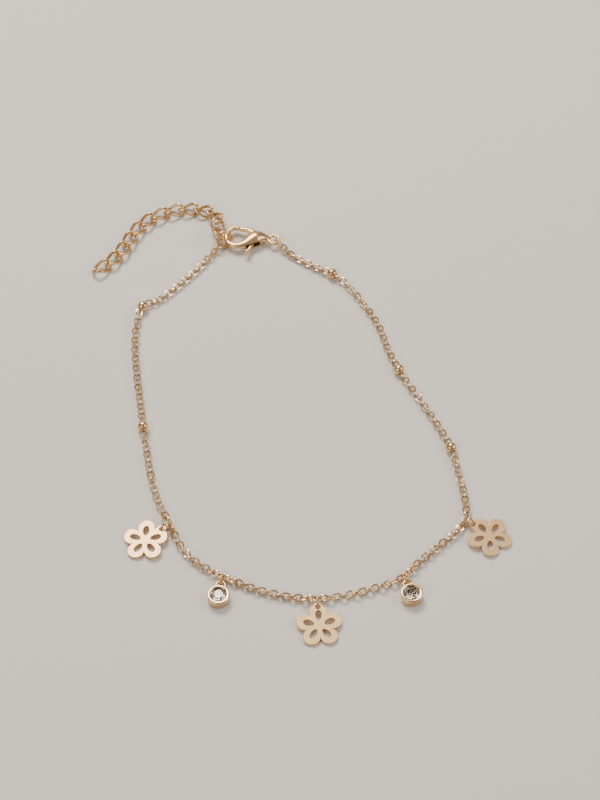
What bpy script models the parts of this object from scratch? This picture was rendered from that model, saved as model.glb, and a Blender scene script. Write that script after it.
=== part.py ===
"""Charm anklet: a fine satellite chain with flower charms, bezel-set stones and a lobster clasp.

The anklet lies on the plane z = 0 as one open loop. Its origin is the middle of its outline on
that plane, +X runs to the right and +Y away from the charms, towards the clasp.
"""

import bmesh
import bpy
from math import asin, atan2, ceil, cos, degrees, exp, radians, sin, sqrt, tau
from mathutils import Matrix, Vector

MM = 0.001

# Fine chain: its outer width and the oval links that carry charms or end the chain
CHAIN_DIAMETER = 1.5 * MM
CHAIN_POINT_SPACING = 3.2 * MM
CARRIER_LENGTH = 1.87 * MM
CARRIER_WIDTH = 1.6 * MM
CARRIER_WIRE = 0.35 * MM
CARRIER_HEIGHT = 0.9 * MM
CARRIER_STEPS = 12
END_LINK_LENGTH = 2.6 * MM
END_LINK_WIDTH = 2.0 * MM
END_LINK_WIRE = 0.4 * MM
END_LINK_STEPS = 14
END_LINK_SWING = 0.5
BEAD_DIAMETER = 2.2 * MM
BEAD_SIDES = 14
BEAD_RINGS = 9
RISE_LENGTH = 2.5 * MM

# Gaps between neighbours
PIECE_GAP = 0.2 * MM
BEAD_GAP = 0.15 * MM
CONTACT_GAP = 0.16 * MM
PIN_GAP = 0.06 * MM

# Small rings that carry the charms
CHARM_RING_DIAMETER = 2.5 * MM
CHARM_RING_WIRE = 0.4 * MM
CHARM_RING_STEPS = 16

# Pierced flower plate
FLOWER_RADIUS = 4.25 * MM
FLOWER_THICKNESS = 0.6 * MM
PETAL_COUNT = 5
PETAL_RADIUS = 1.6 * MM
CORE_RADIUS = 2.2 * MM
SLIT_LENGTH = 2.0 * MM
SLIT_WIDTH = 1.12 * MM
SLIT_CENTRE = 2.02 * MM
SLIT_TAPER = 0.14
FLOWER_EYE_RADIUS = 3.7 * MM
FLOWER_EYE_HOLE = 0.9 * MM
FLOWER_EYE_WALL = 0.45 * MM
FLOWER_EYE_HEIGHT = 1.0 * MM
FLOWER_EYE_INSET = 0.04 * MM
FLOWER_EYE_STEPS = 12
FLOWER_OUTLINE_STEPS = 90
SLIT_STEPS = 14

# Bezel cup and its soldered eye
BEZEL_DIAMETER = 4.1 * MM
BEZEL_HEIGHT = 1.85 * MM
BEZEL_FLOOR = 0.25 * MM
BEZEL_LIP = 0.6 * MM
BEZEL_RIM_FLAT = 0.15 * MM
BEZEL_RIM_DROP = 0.2 * MM
BEZEL_BASE_EDGE = 0.1 * MM
BEZEL_EYE_DIAMETER = 2.2 * MM
BEZEL_EYE_WIRE = 0.5 * MM
BEZEL_EYE_STANDOFF = 0.35 * MM
BEZEL_EYE_HEIGHT = 0.88 * MM
BEZEL_EYE_OUTSET = 0.11 * MM
BEZEL_EYE_STEPS = 14
BEZEL_SIDES = 16

# Round brilliant stone
STONE_DIAMETER = 3.0 * MM
STONE_TABLE = 1.7 * MM
STONE_CROWN = 0.45 * MM
STONE_GIRDLE = 0.06 * MM
STONE_PAVILION = 1.05 * MM
STONE_SEAT_GAP = 0.12 * MM
STONE_SIDE_GAP = 0.12 * MM
STONE_CULET_GAP = 0.05 * MM
STONE_GIRDLE_GAP = 0.04 * MM
STONE_SEAT_SHARE = 0.83
STONE_SEAT_DEPTH = 0.32 * MM
STONE_SIDES = 16

# Lobster clasp, in its own plane: the hollow of the hook is at (0, 0), the eye towards +X
CLASP_AT = (-11.5 * MM, 44.02 * MM)
CLASP_SPAN = 7.7 * MM
CLASP_FLATNESS = 0.8
CLASP_BODY_RADIUS = 1.75 * MM
HOOK_RADIUS = 0.58 * MM
CLASP_EYE_DIAMETER = 2.9 * MM
CLASP_EYE_WIRE = 0.7 * MM
CLASP_EYE_STEPS = 16
PIN_DIAMETER = 0.5 * MM
PIN_LENGTH = 1.7 * MM
PIN_SIDES = 14
LEVER_RADIUS = 0.58 * MM
LEVER_FLATNESS = 0.75
LEVER_GAP = 0.14 * MM
TAB_RADIUS = 0.62 * MM
TAB_SIDES = 12
TAB_RINGS = 7
LEVER_OPENING = 20.0

# Places in the clasp's plane, as shares of CLASP_SPAN, the way from the hook's hollow to the eye
CLASP_EYE_AT = (1.0, -0.065)
PIVOT_AT = (0.481, 0.117)
TAB_TIP = (0.275, -0.526)
HOOK_CROSSING = (-0.279, -0.097)
# Body of the clasp from the hook's tip to the eye: x and y as shares of CLASP_SPAN, and the radius
# as a share of HOOK_RADIUS on the hook and of CLASP_BODY_RADIUS past it
HOOK_PATH = [
    (0.029, 0.352, 0.94),
    (-0.065, 0.378, 1.00),
    (-0.179, 0.321, 1.00),
    (-0.266, 0.188, 1.00),
    (-0.296, 0.013, 1.00),
    (-0.247, -0.162, 1.04),
    (-0.104, -0.273, 1.24),
]
BODY_PATH = [
    (0.097, -0.273, 0.50),
    (0.266, -0.201, 0.70),
    (0.390, -0.104, 0.90),
    (0.506, -0.019, 1.00),
    (0.636, 0.006, 0.84),
    (0.753, -0.006, 0.56),
    (0.857, -0.039, 0.32),
]
# Lever from the gate's tip to the pivot and from there to the thumb tab: x and y as shares of
# CLASP_SPAN, and the radius as a share of LEVER_RADIUS
GATE_PATH = [
    (0.081, 0.332, 0.86),
    (0.123, 0.318, 1.02),
    (0.221, 0.306, 1.10),
    (0.344, 0.260, 1.06),
]
TAB_PATH = [
    (0.444, -0.078, 0.72),
    (0.383, -0.299, 0.66),
    (0.292, -0.494, 0.72),
]

# Big jump ring that the hook closes on
BIG_RING_DIAMETER = 3.9 * MM
BIG_RING_WIRE = 0.6 * MM
BIG_RING_LEAN = 27.0
BIG_RING_TURN = -61.0
BIG_RING_OFFSET = 0.5 * MM
BIG_RING_STEPS = 20
LEFT_LINK_ANGLE = 212.0
EXTENDER_ANGLE = 125.0
CLASP_LINK_ANGLE = -42.0

# Extender: twisted curb links
EXTENDER_LINKS = 13
EXTENDER_LENGTH = 4.7 * MM
EXTENDER_WIDTH = 3.15 * MM
EXTENDER_WIRE = 0.63 * MM
EXTENDER_TWIST = 0.62 * MM
EXTENDER_SLACK = 0.24 * MM
EXTENDER_PITCH = EXTENDER_LENGTH - 2 * EXTENDER_WIRE - EXTENDER_SLACK
EXTENDER_STEPS = 16
EXTENDER_FIRST_TURN = 75.0

# Route of the fine chain as it lies, from the big ring round to the clasp, in millimetres
CHAIN_ROUTE = [
    ("", -18.15, 37.83), ("", -21.15, 33.92), ("", -24.75, 29.82), ("", -27.75, 27.02),
    ("bead_left_back", -30.55, 25.32), ("", -31.55, 21.32), ("", -31.65, 15.43),
    ("", -30.85, 7.72), ("", -29.85, 0.93), ("bead_left_front", -28.95, -5.47),
    ("", -27.95, -11.28), ("", -26.65, -17.98), ("", -25.05, -23.27),
    ("flower_left", -22.7, -28.38), ("", -20.85, -32.48), ("", -18.75, -35.48), ("", -15.85, -37.88),
    ("stone_left", -12.6, -39.77), ("", -9.35, -41.27), ("", -5.25, -42.88), ("", -0.05, -44.17),
    ("flower_centre", 4.85, -44.58), ("", 10.05, -43.88), ("", 14.95, -42.48), ("", 18.5, -41.08),
    ("stone_right", 21.15, -39.48), ("", 24.05, -36.48), ("", 27.55, -33.17), ("", 30.65, -30.38),
    ("flower_right", 32.95, -27.18), ("", 33.15, -22.57), ("", 32.25, -16.77),
    ("bead_right_front", 31.05, -10.57), ("", 28.55, -4.58), ("", 25.35, 1.62),
    ("bead_right_middle", 21.55, 8.72), ("", 19.55, 14.12), ("", 17.65, 20.73), ("", 14.15, 27.43),
    ("", 11.05, 32.02), ("bead_right_back", 8.45, 34.23), ("", 3.85, 37.02), ("", 0.25, 39.52),
]
# Route of the extender as it lies, from beside the big ring to its free end, in millimetres
EXTENDER_ROUTE = [
    (-15.8, 45.52, 1.9), (-15.6, 48.42, 1.5), (-17.0, 51.23, 1.1), (-20.1, 52.42, 1.0),
    (-23.3, 52.52, 1.0), (-26.2, 51.83, 1.0), (-29.0, 50.52, 1.0), (-31.4, 48.52, 1.0),
    (-33.2, 46.02, 1.0), (-34.5, 43.23, 1.0), (-35.8, 40.52, 1.0), (-37.4, 38.12, 1.0),
    (-39.7, 35.92, 1.0), (-42.3, 34.33, 1.0),
]
# Charms: station, kind, ground direction from the chain, turn of the petals from the eye
CHARMS = [
    ("flower_left", "flower", -142.6, -22.0),
    ("stone_left", "stone", -97.0, 0.0),
    ("flower_centre", "flower", -85.7, 0.0),
    ("stone_right", "stone", -76.0, 0.0),
    ("flower_right", "flower", -40.7, -12.0),
]

GOLD = (0.83, 0.60, 0.33)
SATIN_GOLD = (0.87, 0.68, 0.42)
CRYSTAL = (0.80, 0.77, 0.74)


def clear_scene():
    """Remove every object of the scene."""
    for item in list(bpy.data.objects):
        bpy.data.objects.remove(item, do_unlink=True)


def make_collection(name):
    """Return a new collection linked to the scene."""
    group = bpy.data.collections.new(name)
    bpy.context.scene.collection.children.link(group)
    return group


def make_material(name, colour, roughness, metallic, alpha=1.0):
    """Return a Principled material."""
    material = bpy.data.materials.new(name)
    material.use_nodes = True
    shader = material.node_tree.nodes["Principled BSDF"]
    shader.inputs["Base Color"].default_value = (*colour, 1.0)
    shader.inputs["Roughness"].default_value = roughness
    shader.inputs["Metallic"].default_value = metallic
    shader.inputs["Alpha"].default_value = alpha
    return material


def add_object(name, data, group, material, matrix=None):
    """Link an object that holds the data, with its material and place."""
    item = bpy.data.objects.new(name, data)
    group.objects.link(item)
    if material:
        data.materials.append(material)
    if matrix:
        item.matrix_world = matrix
    return item


def frame_matrix(origin, long_axis, normal):
    """Return the matrix whose X is the long axis and whose Z is the normal made square to it."""
    x_axis = long_axis.normalized()
    z_axis = (normal - x_axis * normal.dot(x_axis)).normalized()
    y_axis = z_axis.cross(x_axis)
    turn = Matrix((x_axis, y_axis, z_axis)).transposed().to_4x4()
    return Matrix.Translation(origin) @ turn


def compass(angle):
    """Return the level unit vector at an angle in degrees from +X."""
    return Vector((cos(radians(angle)), sin(radians(angle)), 0.0))


def clasp_place(share):
    """Return the place of a share pair of the clasp's plane."""
    height = CLASP_BODY_RADIUS * CLASP_FLATNESS
    return Vector((CLASP_AT[0], CLASP_AT[1], height)) + Vector((*share, 0.0)) * CLASP_SPAN


def tube_curve(name, points, wire, closed=False, shares=None, resolution=2):
    """Return a round tube's curve through the points, with a radius share for each."""
    curve = bpy.data.curves.new(name, "CURVE")
    curve.dimensions = "3D"
    curve.bevel_depth = wire / 2
    curve.bevel_resolution = resolution
    curve.use_fill_caps = not closed
    spline = curve.splines.new("POLY")
    spline.points.add(len(points) - 1)
    for index, (point, place) in enumerate(zip(spline.points, points)):
        point.co = (*place, 1.0)
        point.radius = shares[index] if shares else 1.0
    spline.use_cyclic_u = closed
    return curve


def curve_to_mesh(name, curve, group, material, matrix=None, flatness=1.0):
    """Return a mesh object made from a curve, welded, and flattened along its own Z."""
    source = add_object(name + "_curve", curve, group, None)
    graph = bpy.context.evaluated_depsgraph_get()
    mesh = bpy.data.meshes.new_from_object(source.evaluated_get(graph))
    bpy.data.objects.remove(source, do_unlink=True)
    shape = bmesh.new()
    shape.from_mesh(mesh)
    bmesh.ops.remove_doubles(shape, verts=shape.verts, dist=0.001 * MM)
    bmesh.ops.scale(shape, vec=(1.0, 1.0, flatness), verts=shape.verts)
    bmesh.ops.recalc_face_normals(shape, faces=shape.faces)
    shape.to_mesh(mesh)
    shape.free()
    mesh.name = name
    return add_object(name, mesh, group, material, matrix)


def boolean(item, cutter, operation, group):
    """Cut or join an object with another one that is kept as a hidden cutter."""
    for holder in list(cutter.users_collection):
        holder.objects.unlink(cutter)
    group.objects.link(cutter)
    cutter.hide_render = True
    cutter.display_type = "WIRE"
    modifier = item.modifiers.new(cutter.name, "BOOLEAN")
    modifier.operation = operation
    modifier.solver = "EXACT"
    modifier.object = cutter


def ring_points(radius, steps, centre=(0.0, 0.0, 0.0)):
    """Return points round a circle in the XY plane."""
    places = []
    for index in range(steps):
        angle = tau * index / steps
        places.append((centre[0] + radius * cos(angle), centre[1] + radius * sin(angle), centre[2]))
    return places


def link_points(length, width, wire, steps, twist=0.0):
    """Return the centreline of an oval link, straight-sided when it is longer than wide."""
    half_width = (width - wire) / 2
    half_length = (length - wire) / 2
    places = []
    for index in range(steps):
        angle = tau * (index + 0.5) / steps
        places.append((half_length * cos(angle), half_width * sin(angle), twist * sin(2 * angle)))
    return places


def smooth_curve(points, steps=12):
    """Return a dense smooth curve through the points, by centripetal interpolation."""
    first = points[0] * 2 - points[1]
    last = points[-1] * 2 - points[-2]
    ends = [first, *points, last]
    dense = []
    for index in range(1, len(ends) - 2):
        p0, p1, p2, p3 = ends[index - 1:index + 3]
        t1 = sqrt((p1 - p0).length)
        t2 = t1 + sqrt((p2 - p1).length)
        t3 = t2 + sqrt((p3 - p2).length)
        for step in range(steps):
            t = t1 + (t2 - t1) * step / steps
            a1 = p0.lerp(p1, t / t1)
            a2 = p1.lerp(p2, (t - t1) / (t2 - t1))
            a3 = p2.lerp(p3, (t - t2) / (t3 - t2))
            b1 = a1.lerp(a2, t / t2)
            b2 = a2.lerp(a3, (t - t1) / (t3 - t1))
            dense.append(b1.lerp(b2, (t - t1) / (t2 - t1)))
    dense.append(points[-1].copy())
    return dense


class Route:
    """A smooth curve that is read by the length along it."""

    def __init__(self, points):
        """Store the dense curve and the length reached at each of its points."""
        self.places = smooth_curve(points)
        self.reached = [0.0]
        for start, end in zip(self.places, self.places[1:]):
            self.reached.append(self.reached[-1] + (end - start).length)
        self.length = self.reached[-1]

    def at(self, distance):
        """Return the point at a length along the curve, past its ends along the end runs."""
        index = 1
        while index < len(self.reached) - 1 and self.reached[index] < distance:
            index += 1
        span = self.reached[index] - self.reached[index - 1]
        share = (distance - self.reached[index - 1]) / span
        return self.places[index - 1].lerp(self.places[index], share)

    def along(self, distance, reach=0.3 * MM):
        """Return the unit direction of the curve at a length along it."""
        return (self.at(distance + reach) - self.at(distance - reach)).normalized()

    def nearest(self, place):
        """Return the length along the curve at its dense point closest to a place."""
        gaps = [(point - place).length for point in self.places]
        return self.reached[gaps.index(min(gaps))]


def big_ring_frame():
    """Return the big ring's centre, level axis and rising axis."""
    lean = radians(BIG_RING_LEAN)
    level = compass(BIG_RING_TURN + 90.0)
    front = compass(BIG_RING_TURN)
    rising = front * -sin(lean) + Vector((0.0, 0.0, cos(lean)))
    centre_height = (BIG_RING_DIAMETER - BIG_RING_WIRE) / 2 * cos(lean) + BIG_RING_WIRE / 2
    crossing = clasp_place(HOOK_CROSSING)
    climb = (centre_height - crossing.z) / cos(lean)
    return crossing - level * BIG_RING_OFFSET + rising * climb, level, rising


def on_big_ring(heading):
    """Return the point of the big ring's centreline at an angle, and the wire's direction."""
    centre, level, rising = big_ring_frame()
    angle = radians(heading)
    radius = (BIG_RING_DIAMETER - BIG_RING_WIRE) / 2
    place = centre + (level * cos(angle) + rising * sin(angle)) * radius
    return place, rising * cos(angle) - level * sin(angle)


def hanging_link(anchor, wire_direction, towards, length, wire, held_wire):
    """Return the frame of a link that is hooked on a wire and pulled towards a place."""
    pull = (towards - anchor).normalized()
    pull = (pull - wire_direction * pull.dot(wire_direction) * END_LINK_SWING).normalized()
    reach = length / 2 - wire - held_wire / 2 - CONTACT_GAP
    return frame_matrix(anchor + pull * reach, pull, wire_direction)


def end_link_frames():
    """Return the frames of the chain's two end links: at the big ring and at the clasp's eye."""
    anchor, wire = on_big_ring(LEFT_LINK_ANGLE)
    first = Vector((CHAIN_ROUTE[0][1] * MM, CHAIN_ROUTE[0][2] * MM, CHAIN_DIAMETER / 2))
    left = hanging_link(anchor, wire, first, END_LINK_LENGTH, END_LINK_WIRE, BIG_RING_WIRE)
    eye_radius = (CLASP_EYE_DIAMETER - CLASP_EYE_WIRE) / 2
    spoke = compass(CLASP_LINK_ANGLE)
    last = Vector((CHAIN_ROUTE[-1][1] * MM, CHAIN_ROUTE[-1][2] * MM, CHAIN_DIAMETER / 2))
    wire = compass(CLASP_LINK_ANGLE + 90.0)
    anchor = clasp_place(CLASP_EYE_AT) + spoke * eye_radius
    right = hanging_link(anchor, wire, last, END_LINK_LENGTH, END_LINK_WIRE, CLASP_EYE_WIRE)
    return left, right


def chain_layout():
    """Return the chain's route and the length along it of each station."""
    left, right = end_link_frames()
    base = CHAIN_DIAMETER / 2
    start = left.translation
    finish = right.translation
    flat = [Vector((start.x, start.y, base))]
    flat += [Vector((x * MM, y * MM, base)) for _, x, y in CHAIN_ROUTE]
    flat.append(Vector((finish.x, finish.y, base)))
    route = Route(flat)
    stations = [("link_left", 0.0, start.z)]
    for name, x, y in CHAIN_ROUTE:
        if name:
            height = BEAD_DIAMETER / 2 if name.startswith("bead") else CARRIER_HEIGHT
            stations.append((name, route.nearest(Vector((x * MM, y * MM, base))), height))
    stations.append(("link_right", route.length, finish.z))
    return route, stations


def chain_place(route, stations, distance):
    """Return the chain's centre at a length along it, raised near beads, charms and ends."""
    place = route.at(distance)
    lift = 0.0
    for _, reached, height in stations:
        rise = height - CHAIN_DIAMETER / 2
        lift = max(lift, rise * exp(-((distance - reached) / RISE_LENGTH) ** 2))
    return place + Vector((0.0, 0.0, lift))


def station_reach(name):
    """Return how far from a station's middle the chain's tube starts."""
    if name.startswith("bead"):
        return BEAD_DIAMETER / 2 + BEAD_GAP
    if name.startswith("link"):
        return END_LINK_LENGTH / 2 + PIECE_GAP
    return CARRIER_LENGTH / 2 + PIECE_GAP


def build_chain(group, material):
    """Make the chain's runs between stations, as tubes."""
    route, stations = chain_layout()
    for (name, reached, _), (next_name, next_reached, _) in zip(stations, stations[1:]):
        start = reached + station_reach(name)
        end = next_reached - station_reach(next_name)
        steps = max(2, ceil((end - start) / CHAIN_POINT_SPACING))
        places = []
        for index in range(steps + 1):
            distance = start + (end - start) * index / steps
            places.append(chain_place(route, stations, distance))
        title = f"chain_{name}_to_{next_name}"
        add_object(title, tube_curve(title, places, CHAIN_DIAMETER), group, material)


def build_beads(group, material):
    """Make the round satellite beads that the chain runs into."""
    route, stations = chain_layout()
    for name, reached, height in stations:
        if not name.startswith("bead"):
            continue
        place = route.at(reached)
        pole = Vector((0.0, 0.0, 1.0)).rotation_difference(route.along(reached))
        shape = bmesh.new()
        bmesh.ops.create_uvsphere(
            shape, u_segments=BEAD_SIDES, v_segments=BEAD_RINGS, radius=BEAD_DIAMETER / 2
        )
        mesh = bpy.data.meshes.new(name)
        shape.to_mesh(mesh)
        shape.free()
        matrix = Matrix.Translation((place.x, place.y, height)) @ pole.to_matrix().to_4x4()
        add_object(name, mesh, group, material, matrix)


def build_end_links(group, material):
    """Make the oval links that join the chain to the big ring and to the clasp."""
    points = link_points(END_LINK_LENGTH, END_LINK_WIDTH, END_LINK_WIRE, END_LINK_STEPS)
    for name, matrix in zip(("end_link_left", "end_link_right"), end_link_frames()):
        curve = tube_curve(name, points, END_LINK_WIRE, closed=True, resolution=1)
        add_object(name, curve, group, material, matrix)


def charm_ring_contact(height):
    """Return how far level from a charm ring's middle its wire passes at a height."""
    radius = (CHARM_RING_DIAMETER - CHARM_RING_WIRE) / 2
    drop = CHARM_RING_DIAMETER / 2 - height
    return sqrt(radius ** 2 - drop ** 2)


def build_charm_rings(group, material, carrier_material):
    """Make each charm's upright ring and the chain link that it passes through."""
    route, stations = chain_layout()
    reached_by_name = {name: reached for name, reached, _ in stations}
    ring_radius = (CHARM_RING_DIAMETER - CHARM_RING_WIRE) / 2
    ring_curve_points = ring_points(ring_radius, CHARM_RING_STEPS)
    carrier_points = link_points(CARRIER_LENGTH, CARRIER_WIDTH, CARRIER_WIRE, CARRIER_STEPS)
    hook = charm_ring_contact(CARRIER_HEIGHT)
    lean = asin((CHARM_RING_DIAMETER / 2 - CARRIER_HEIGHT) / ring_radius)
    centres = {}
    for name, _, turn, _ in CHARMS:
        reached = reached_by_name[name]
        out = compass(turn)
        place = chain_place(route, stations, reached)
        middle = Vector((place.x, place.y, CHARM_RING_DIAMETER / 2)) + out * hook
        title = f"charm_ring_{name}"
        curve = tube_curve(title, ring_curve_points, CHARM_RING_WIRE, closed=True)
        side = compass(turn + 90.0)
        add_object(title, curve, group, material, frame_matrix(middle, out, side))
        title = f"carrier_link_{name}"
        curve = tube_curve(title, carrier_points, CARRIER_WIRE, closed=True, resolution=1)
        normal = Vector((0.0, 0.0, cos(lean))) - out * sin(lean)
        matrix = frame_matrix(place, route.along(reached), normal)
        add_object(title, curve, group, carrier_material, matrix)
        centres[name] = (middle, out)
    return centres


def flower_radius_at(angle, turn):
    """Return the flower's outline radius at an angle from the eye, over its discs."""
    petal_centre = FLOWER_RADIUS - PETAL_RADIUS
    discs = [(0.0, 0.0, CORE_RADIUS)]
    discs.append((FLOWER_EYE_RADIUS, 0.0, FLOWER_EYE_HOLE / 2 + FLOWER_EYE_WALL))
    for index in range(PETAL_COUNT):
        discs.append((petal_centre, radians(turn) + tau * index / PETAL_COUNT, PETAL_RADIUS))
    best = 0.0
    for distance, heading, radius in discs:
        across = distance * sin(angle - heading)
        if abs(across) < radius and (cos(angle - heading) > 0 or distance == 0.0):
            reach = distance * cos(angle - heading) + sqrt(radius ** 2 - across ** 2)
            best = max(best, reach)
    return best


def slit_points(heading):
    """Return a petal's opening, narrow towards the middle of the flower."""
    places = []
    for index in range(SLIT_STEPS):
        angle = tau * index / SLIT_STEPS
        along = SLIT_CENTRE + SLIT_LENGTH / 2 * cos(angle)
        across = SLIT_WIDTH / 2 * sin(angle) * (1 + SLIT_TAPER * cos(angle))
        places.append((
            along * cos(heading) - across * sin(heading),
            along * sin(heading) + across * cos(heading),
        ))
    return places


def flower_curve(name, turn):
    """Return the flower's flat curve: outline, petal openings and the ring's hole."""
    outline = []
    for index in range(FLOWER_OUTLINE_STEPS):
        angle = radians(turn) + tau * index / FLOWER_OUTLINE_STEPS
        radius = flower_radius_at(angle, turn)
        outline.append((radius * cos(angle), radius * sin(angle)))
    loops = [outline]
    for index in range(PETAL_COUNT):
        loops.append(slit_points(radians(turn) + tau * index / PETAL_COUNT))
    hole = ring_points(FLOWER_EYE_HOLE / 2, FLOWER_EYE_STEPS, (FLOWER_EYE_RADIUS, 0.0, 0.0))
    loops.append([(x, y) for x, y, _ in hole])
    curve = bpy.data.curves.new(name, "CURVE")
    curve.dimensions = "2D"
    curve.fill_mode = "BOTH"
    curve.extrude = FLOWER_THICKNESS / 2
    for loop in loops:
        spline = curve.splines.new("POLY")
        spline.points.add(len(loop) - 1)
        for point, (x, y) in zip(spline.points, loop):
            point.co = (x, y, 0.0, 1.0)
        spline.use_cyclic_u = True
    return curve


def build_flower(name, middle, out, turn, group, material):
    """Make a flower plate whose eye hangs on its ring and whose far petals rest on the ground."""
    eye_reach = charm_ring_contact(FLOWER_EYE_HEIGHT) - FLOWER_EYE_INSET
    eye = middle + out * eye_reach
    angles = [tau * index / FLOWER_OUTLINE_STEPS for index in range(FLOWER_OUTLINE_STEPS)]
    far = min(flower_radius_at(angle, turn) * cos(angle) for angle in angles)
    span = FLOWER_EYE_RADIUS - far
    tilt = asin((FLOWER_EYE_HEIGHT - FLOWER_THICKNESS / 2) / span)
    level = -out
    along = level * cos(tilt) + Vector((0.0, 0.0, sin(tilt)))
    normal = Vector((0.0, 0.0, 1.0)) * cos(tilt) - level * sin(tilt)
    centre = Vector((eye.x, eye.y, FLOWER_EYE_HEIGHT)) - along * FLOWER_EYE_RADIUS
    add_object(name, flower_curve(name, turn), group, material, frame_matrix(centre, along, normal))


def turned_mesh(name, profile, group, material, matrix, sides):
    """Return a turned object from a profile that runs down its outer side."""
    mesh = bpy.data.meshes.new(name)
    edges = [(index, index + 1) for index in range(len(profile) - 1)]
    mesh.from_pydata([(x, 0.0, z) for x, z in profile], edges, [])
    item = add_object(name, mesh, group, material, matrix)
    screw = item.modifiers.new("turn", "SCREW")
    screw.steps = sides
    screw.render_steps = sides
    screw.use_merge_vertices = True
    screw.merge_threshold = 0.001 * MM
    return item


def bezel_profile():
    """Return the bezel cup's section, from the middle of its floor round to its base."""
    outer = BEZEL_DIAMETER / 2
    bore = STONE_DIAMETER / 2 + STONE_SIDE_GAP
    girdle = stone_girdle_height()
    seat = STONE_DIAMETER / 2 * STONE_SEAT_SHARE
    return [
        (0.0, BEZEL_FLOOR),
        (seat, BEZEL_FLOOR),
        (seat, girdle - STONE_SEAT_DEPTH),
        (bore, girdle - STONE_SEAT_GAP),
        (bore, girdle + STONE_GIRDLE + STONE_GIRDLE_GAP),
        (outer - BEZEL_LIP, BEZEL_HEIGHT),
        (outer - BEZEL_RIM_FLAT, BEZEL_HEIGHT),
        (outer, BEZEL_HEIGHT - BEZEL_RIM_DROP),
        (outer, BEZEL_BASE_EDGE),
        (outer - BEZEL_BASE_EDGE, 0.0),
        (0.0, 0.0),
    ]


def stone_girdle_height():
    """Return the height of the stone's girdle, set by the pavilion over the cup's floor."""
    return BEZEL_FLOOR + STONE_SEAT_GAP + STONE_PAVILION + STONE_CULET_GAP


def build_stone(name, middle, out, group, cutters, material, stone_material):
    """Make a bezel cup with its eye on the charm ring, and the round brilliant in it."""
    eye_reach = charm_ring_contact(BEZEL_EYE_HEIGHT) + BEZEL_EYE_OUTSET
    standoff = BEZEL_DIAMETER / 2 + BEZEL_EYE_STANDOFF
    centre = middle + out * (eye_reach + standoff)
    matrix = frame_matrix(Vector((centre.x, centre.y, 0.0)), -out, Vector((0.0, 0.0, 1.0)))
    cup = turned_mesh(f"bezel_{name}", bezel_profile(), group, material, matrix, BEZEL_SIDES)
    eye_radius = (BEZEL_EYE_DIAMETER - BEZEL_EYE_WIRE) / 2
    points = ring_points(eye_radius, BEZEL_EYE_STEPS, (standoff, 0.0, BEZEL_EYE_HEIGHT))
    curve = tube_curve(f"eye_{name}", points, BEZEL_EYE_WIRE, closed=True)
    eye = curve_to_mesh(f"eye_{name}", curve, group, material, matrix)
    boolean(cup, eye, "UNION", cutters)
    shape = bmesh.new()
    girdle = stone_girdle_height()
    table = girdle + STONE_GIRDLE + STONE_CROWN
    for index in range(8):
        angle = tau * (index + 0.5) / 8
        radius = STONE_TABLE / 2
        bmesh.ops.create_vert(shape, co=(radius * cos(angle), radius * sin(angle), table))
    for index in range(STONE_SIDES):
        angle = tau * index / STONE_SIDES
        radius = STONE_DIAMETER / 2
        for height in (girdle, girdle + STONE_GIRDLE):
            bmesh.ops.create_vert(shape, co=(radius * cos(angle), radius * sin(angle), height))
    bmesh.ops.create_vert(shape, co=(0.0, 0.0, girdle - STONE_PAVILION))
    bmesh.ops.convex_hull(shape, input=shape.verts)
    bmesh.ops.recalc_face_normals(shape, faces=shape.faces)
    mesh = bpy.data.meshes.new(f"brilliant_{name}")
    shape.to_mesh(mesh)
    shape.free()
    add_object(f"brilliant_{name}", mesh, group, stone_material, matrix)


def build_charms(group, cutters, materials):
    """Make the rings, flowers and stones at their stations."""
    centres = build_charm_rings(group, materials["ring"], materials["carrier"])
    for name, kind, _, turn in CHARMS:
        middle, out = centres[name]
        if kind == "flower":
            build_flower(name, middle, out, turn, group, materials["flower"])
        else:
            build_stone(name, middle, out, group, cutters, materials["bezel"], materials["stone"])


def slot_outline(path, width):
    """Return the flat outline that an arm of the lever needs as it swings about the pivot."""
    spots = [Vector((x, y)) - Vector(PIVOT_AT) for x, y, _ in path]
    headings = [degrees(atan2(spot.y, spot.x)) % 360.0 for spot in spots]
    start = min(headings)
    end = max(headings) + LEVER_OPENING
    reach = max(spot.length for spot in spots) * CLASP_SPAN + LEVER_GAP
    return [
        compass((start + end) / 2 + 180.0) * width,
        compass(start - 90.0) * width,
        compass(start) * reach + compass(start - 90.0) * width,
        compass(end) * reach + compass(end + 90.0) * width,
        compass(end + 90.0) * width,
    ]


def prism(name, outline, half_height, group):
    """Return a closed upright prism on a flat outline."""
    shape = bmesh.new()
    corners = [shape.verts.new((point.x, point.y, -half_height)) for point in outline]
    face = shape.faces.new(corners)
    sweep = bmesh.ops.extrude_face_region(shape, geom=[face])
    raised = [part for part in sweep["geom"] if isinstance(part, bmesh.types.BMVert)]
    bmesh.ops.translate(shape, verts=raised, vec=(0.0, 0.0, 2 * half_height))
    bmesh.ops.recalc_face_normals(shape, faces=shape.faces)
    mesh = bpy.data.meshes.new(name)
    shape.to_mesh(mesh)
    shape.free()
    return add_object(name, mesh, group, None)


def pivot_bar(name, radius, length, group, material):
    """Return an upright round bar at the lever's pivot."""
    shape = bmesh.new()
    bmesh.ops.create_cone(
        shape, cap_ends=True, segments=PIN_SIDES, radius1=radius, radius2=radius, depth=length
    )
    mesh = bpy.data.meshes.new(name)
    shape.to_mesh(mesh)
    shape.free()
    return add_object(name, mesh, group, material, Matrix.Translation(clasp_place(PIVOT_AT)))


def swept_points(path, centre=(0.0, 0.0)):
    """Return the points of a path of the clasp's plane, about a centre given as shares."""
    return [((x - centre[0]) * CLASP_SPAN, (y - centre[1]) * CLASP_SPAN, 0.0) for x, y, _ in path]


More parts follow.
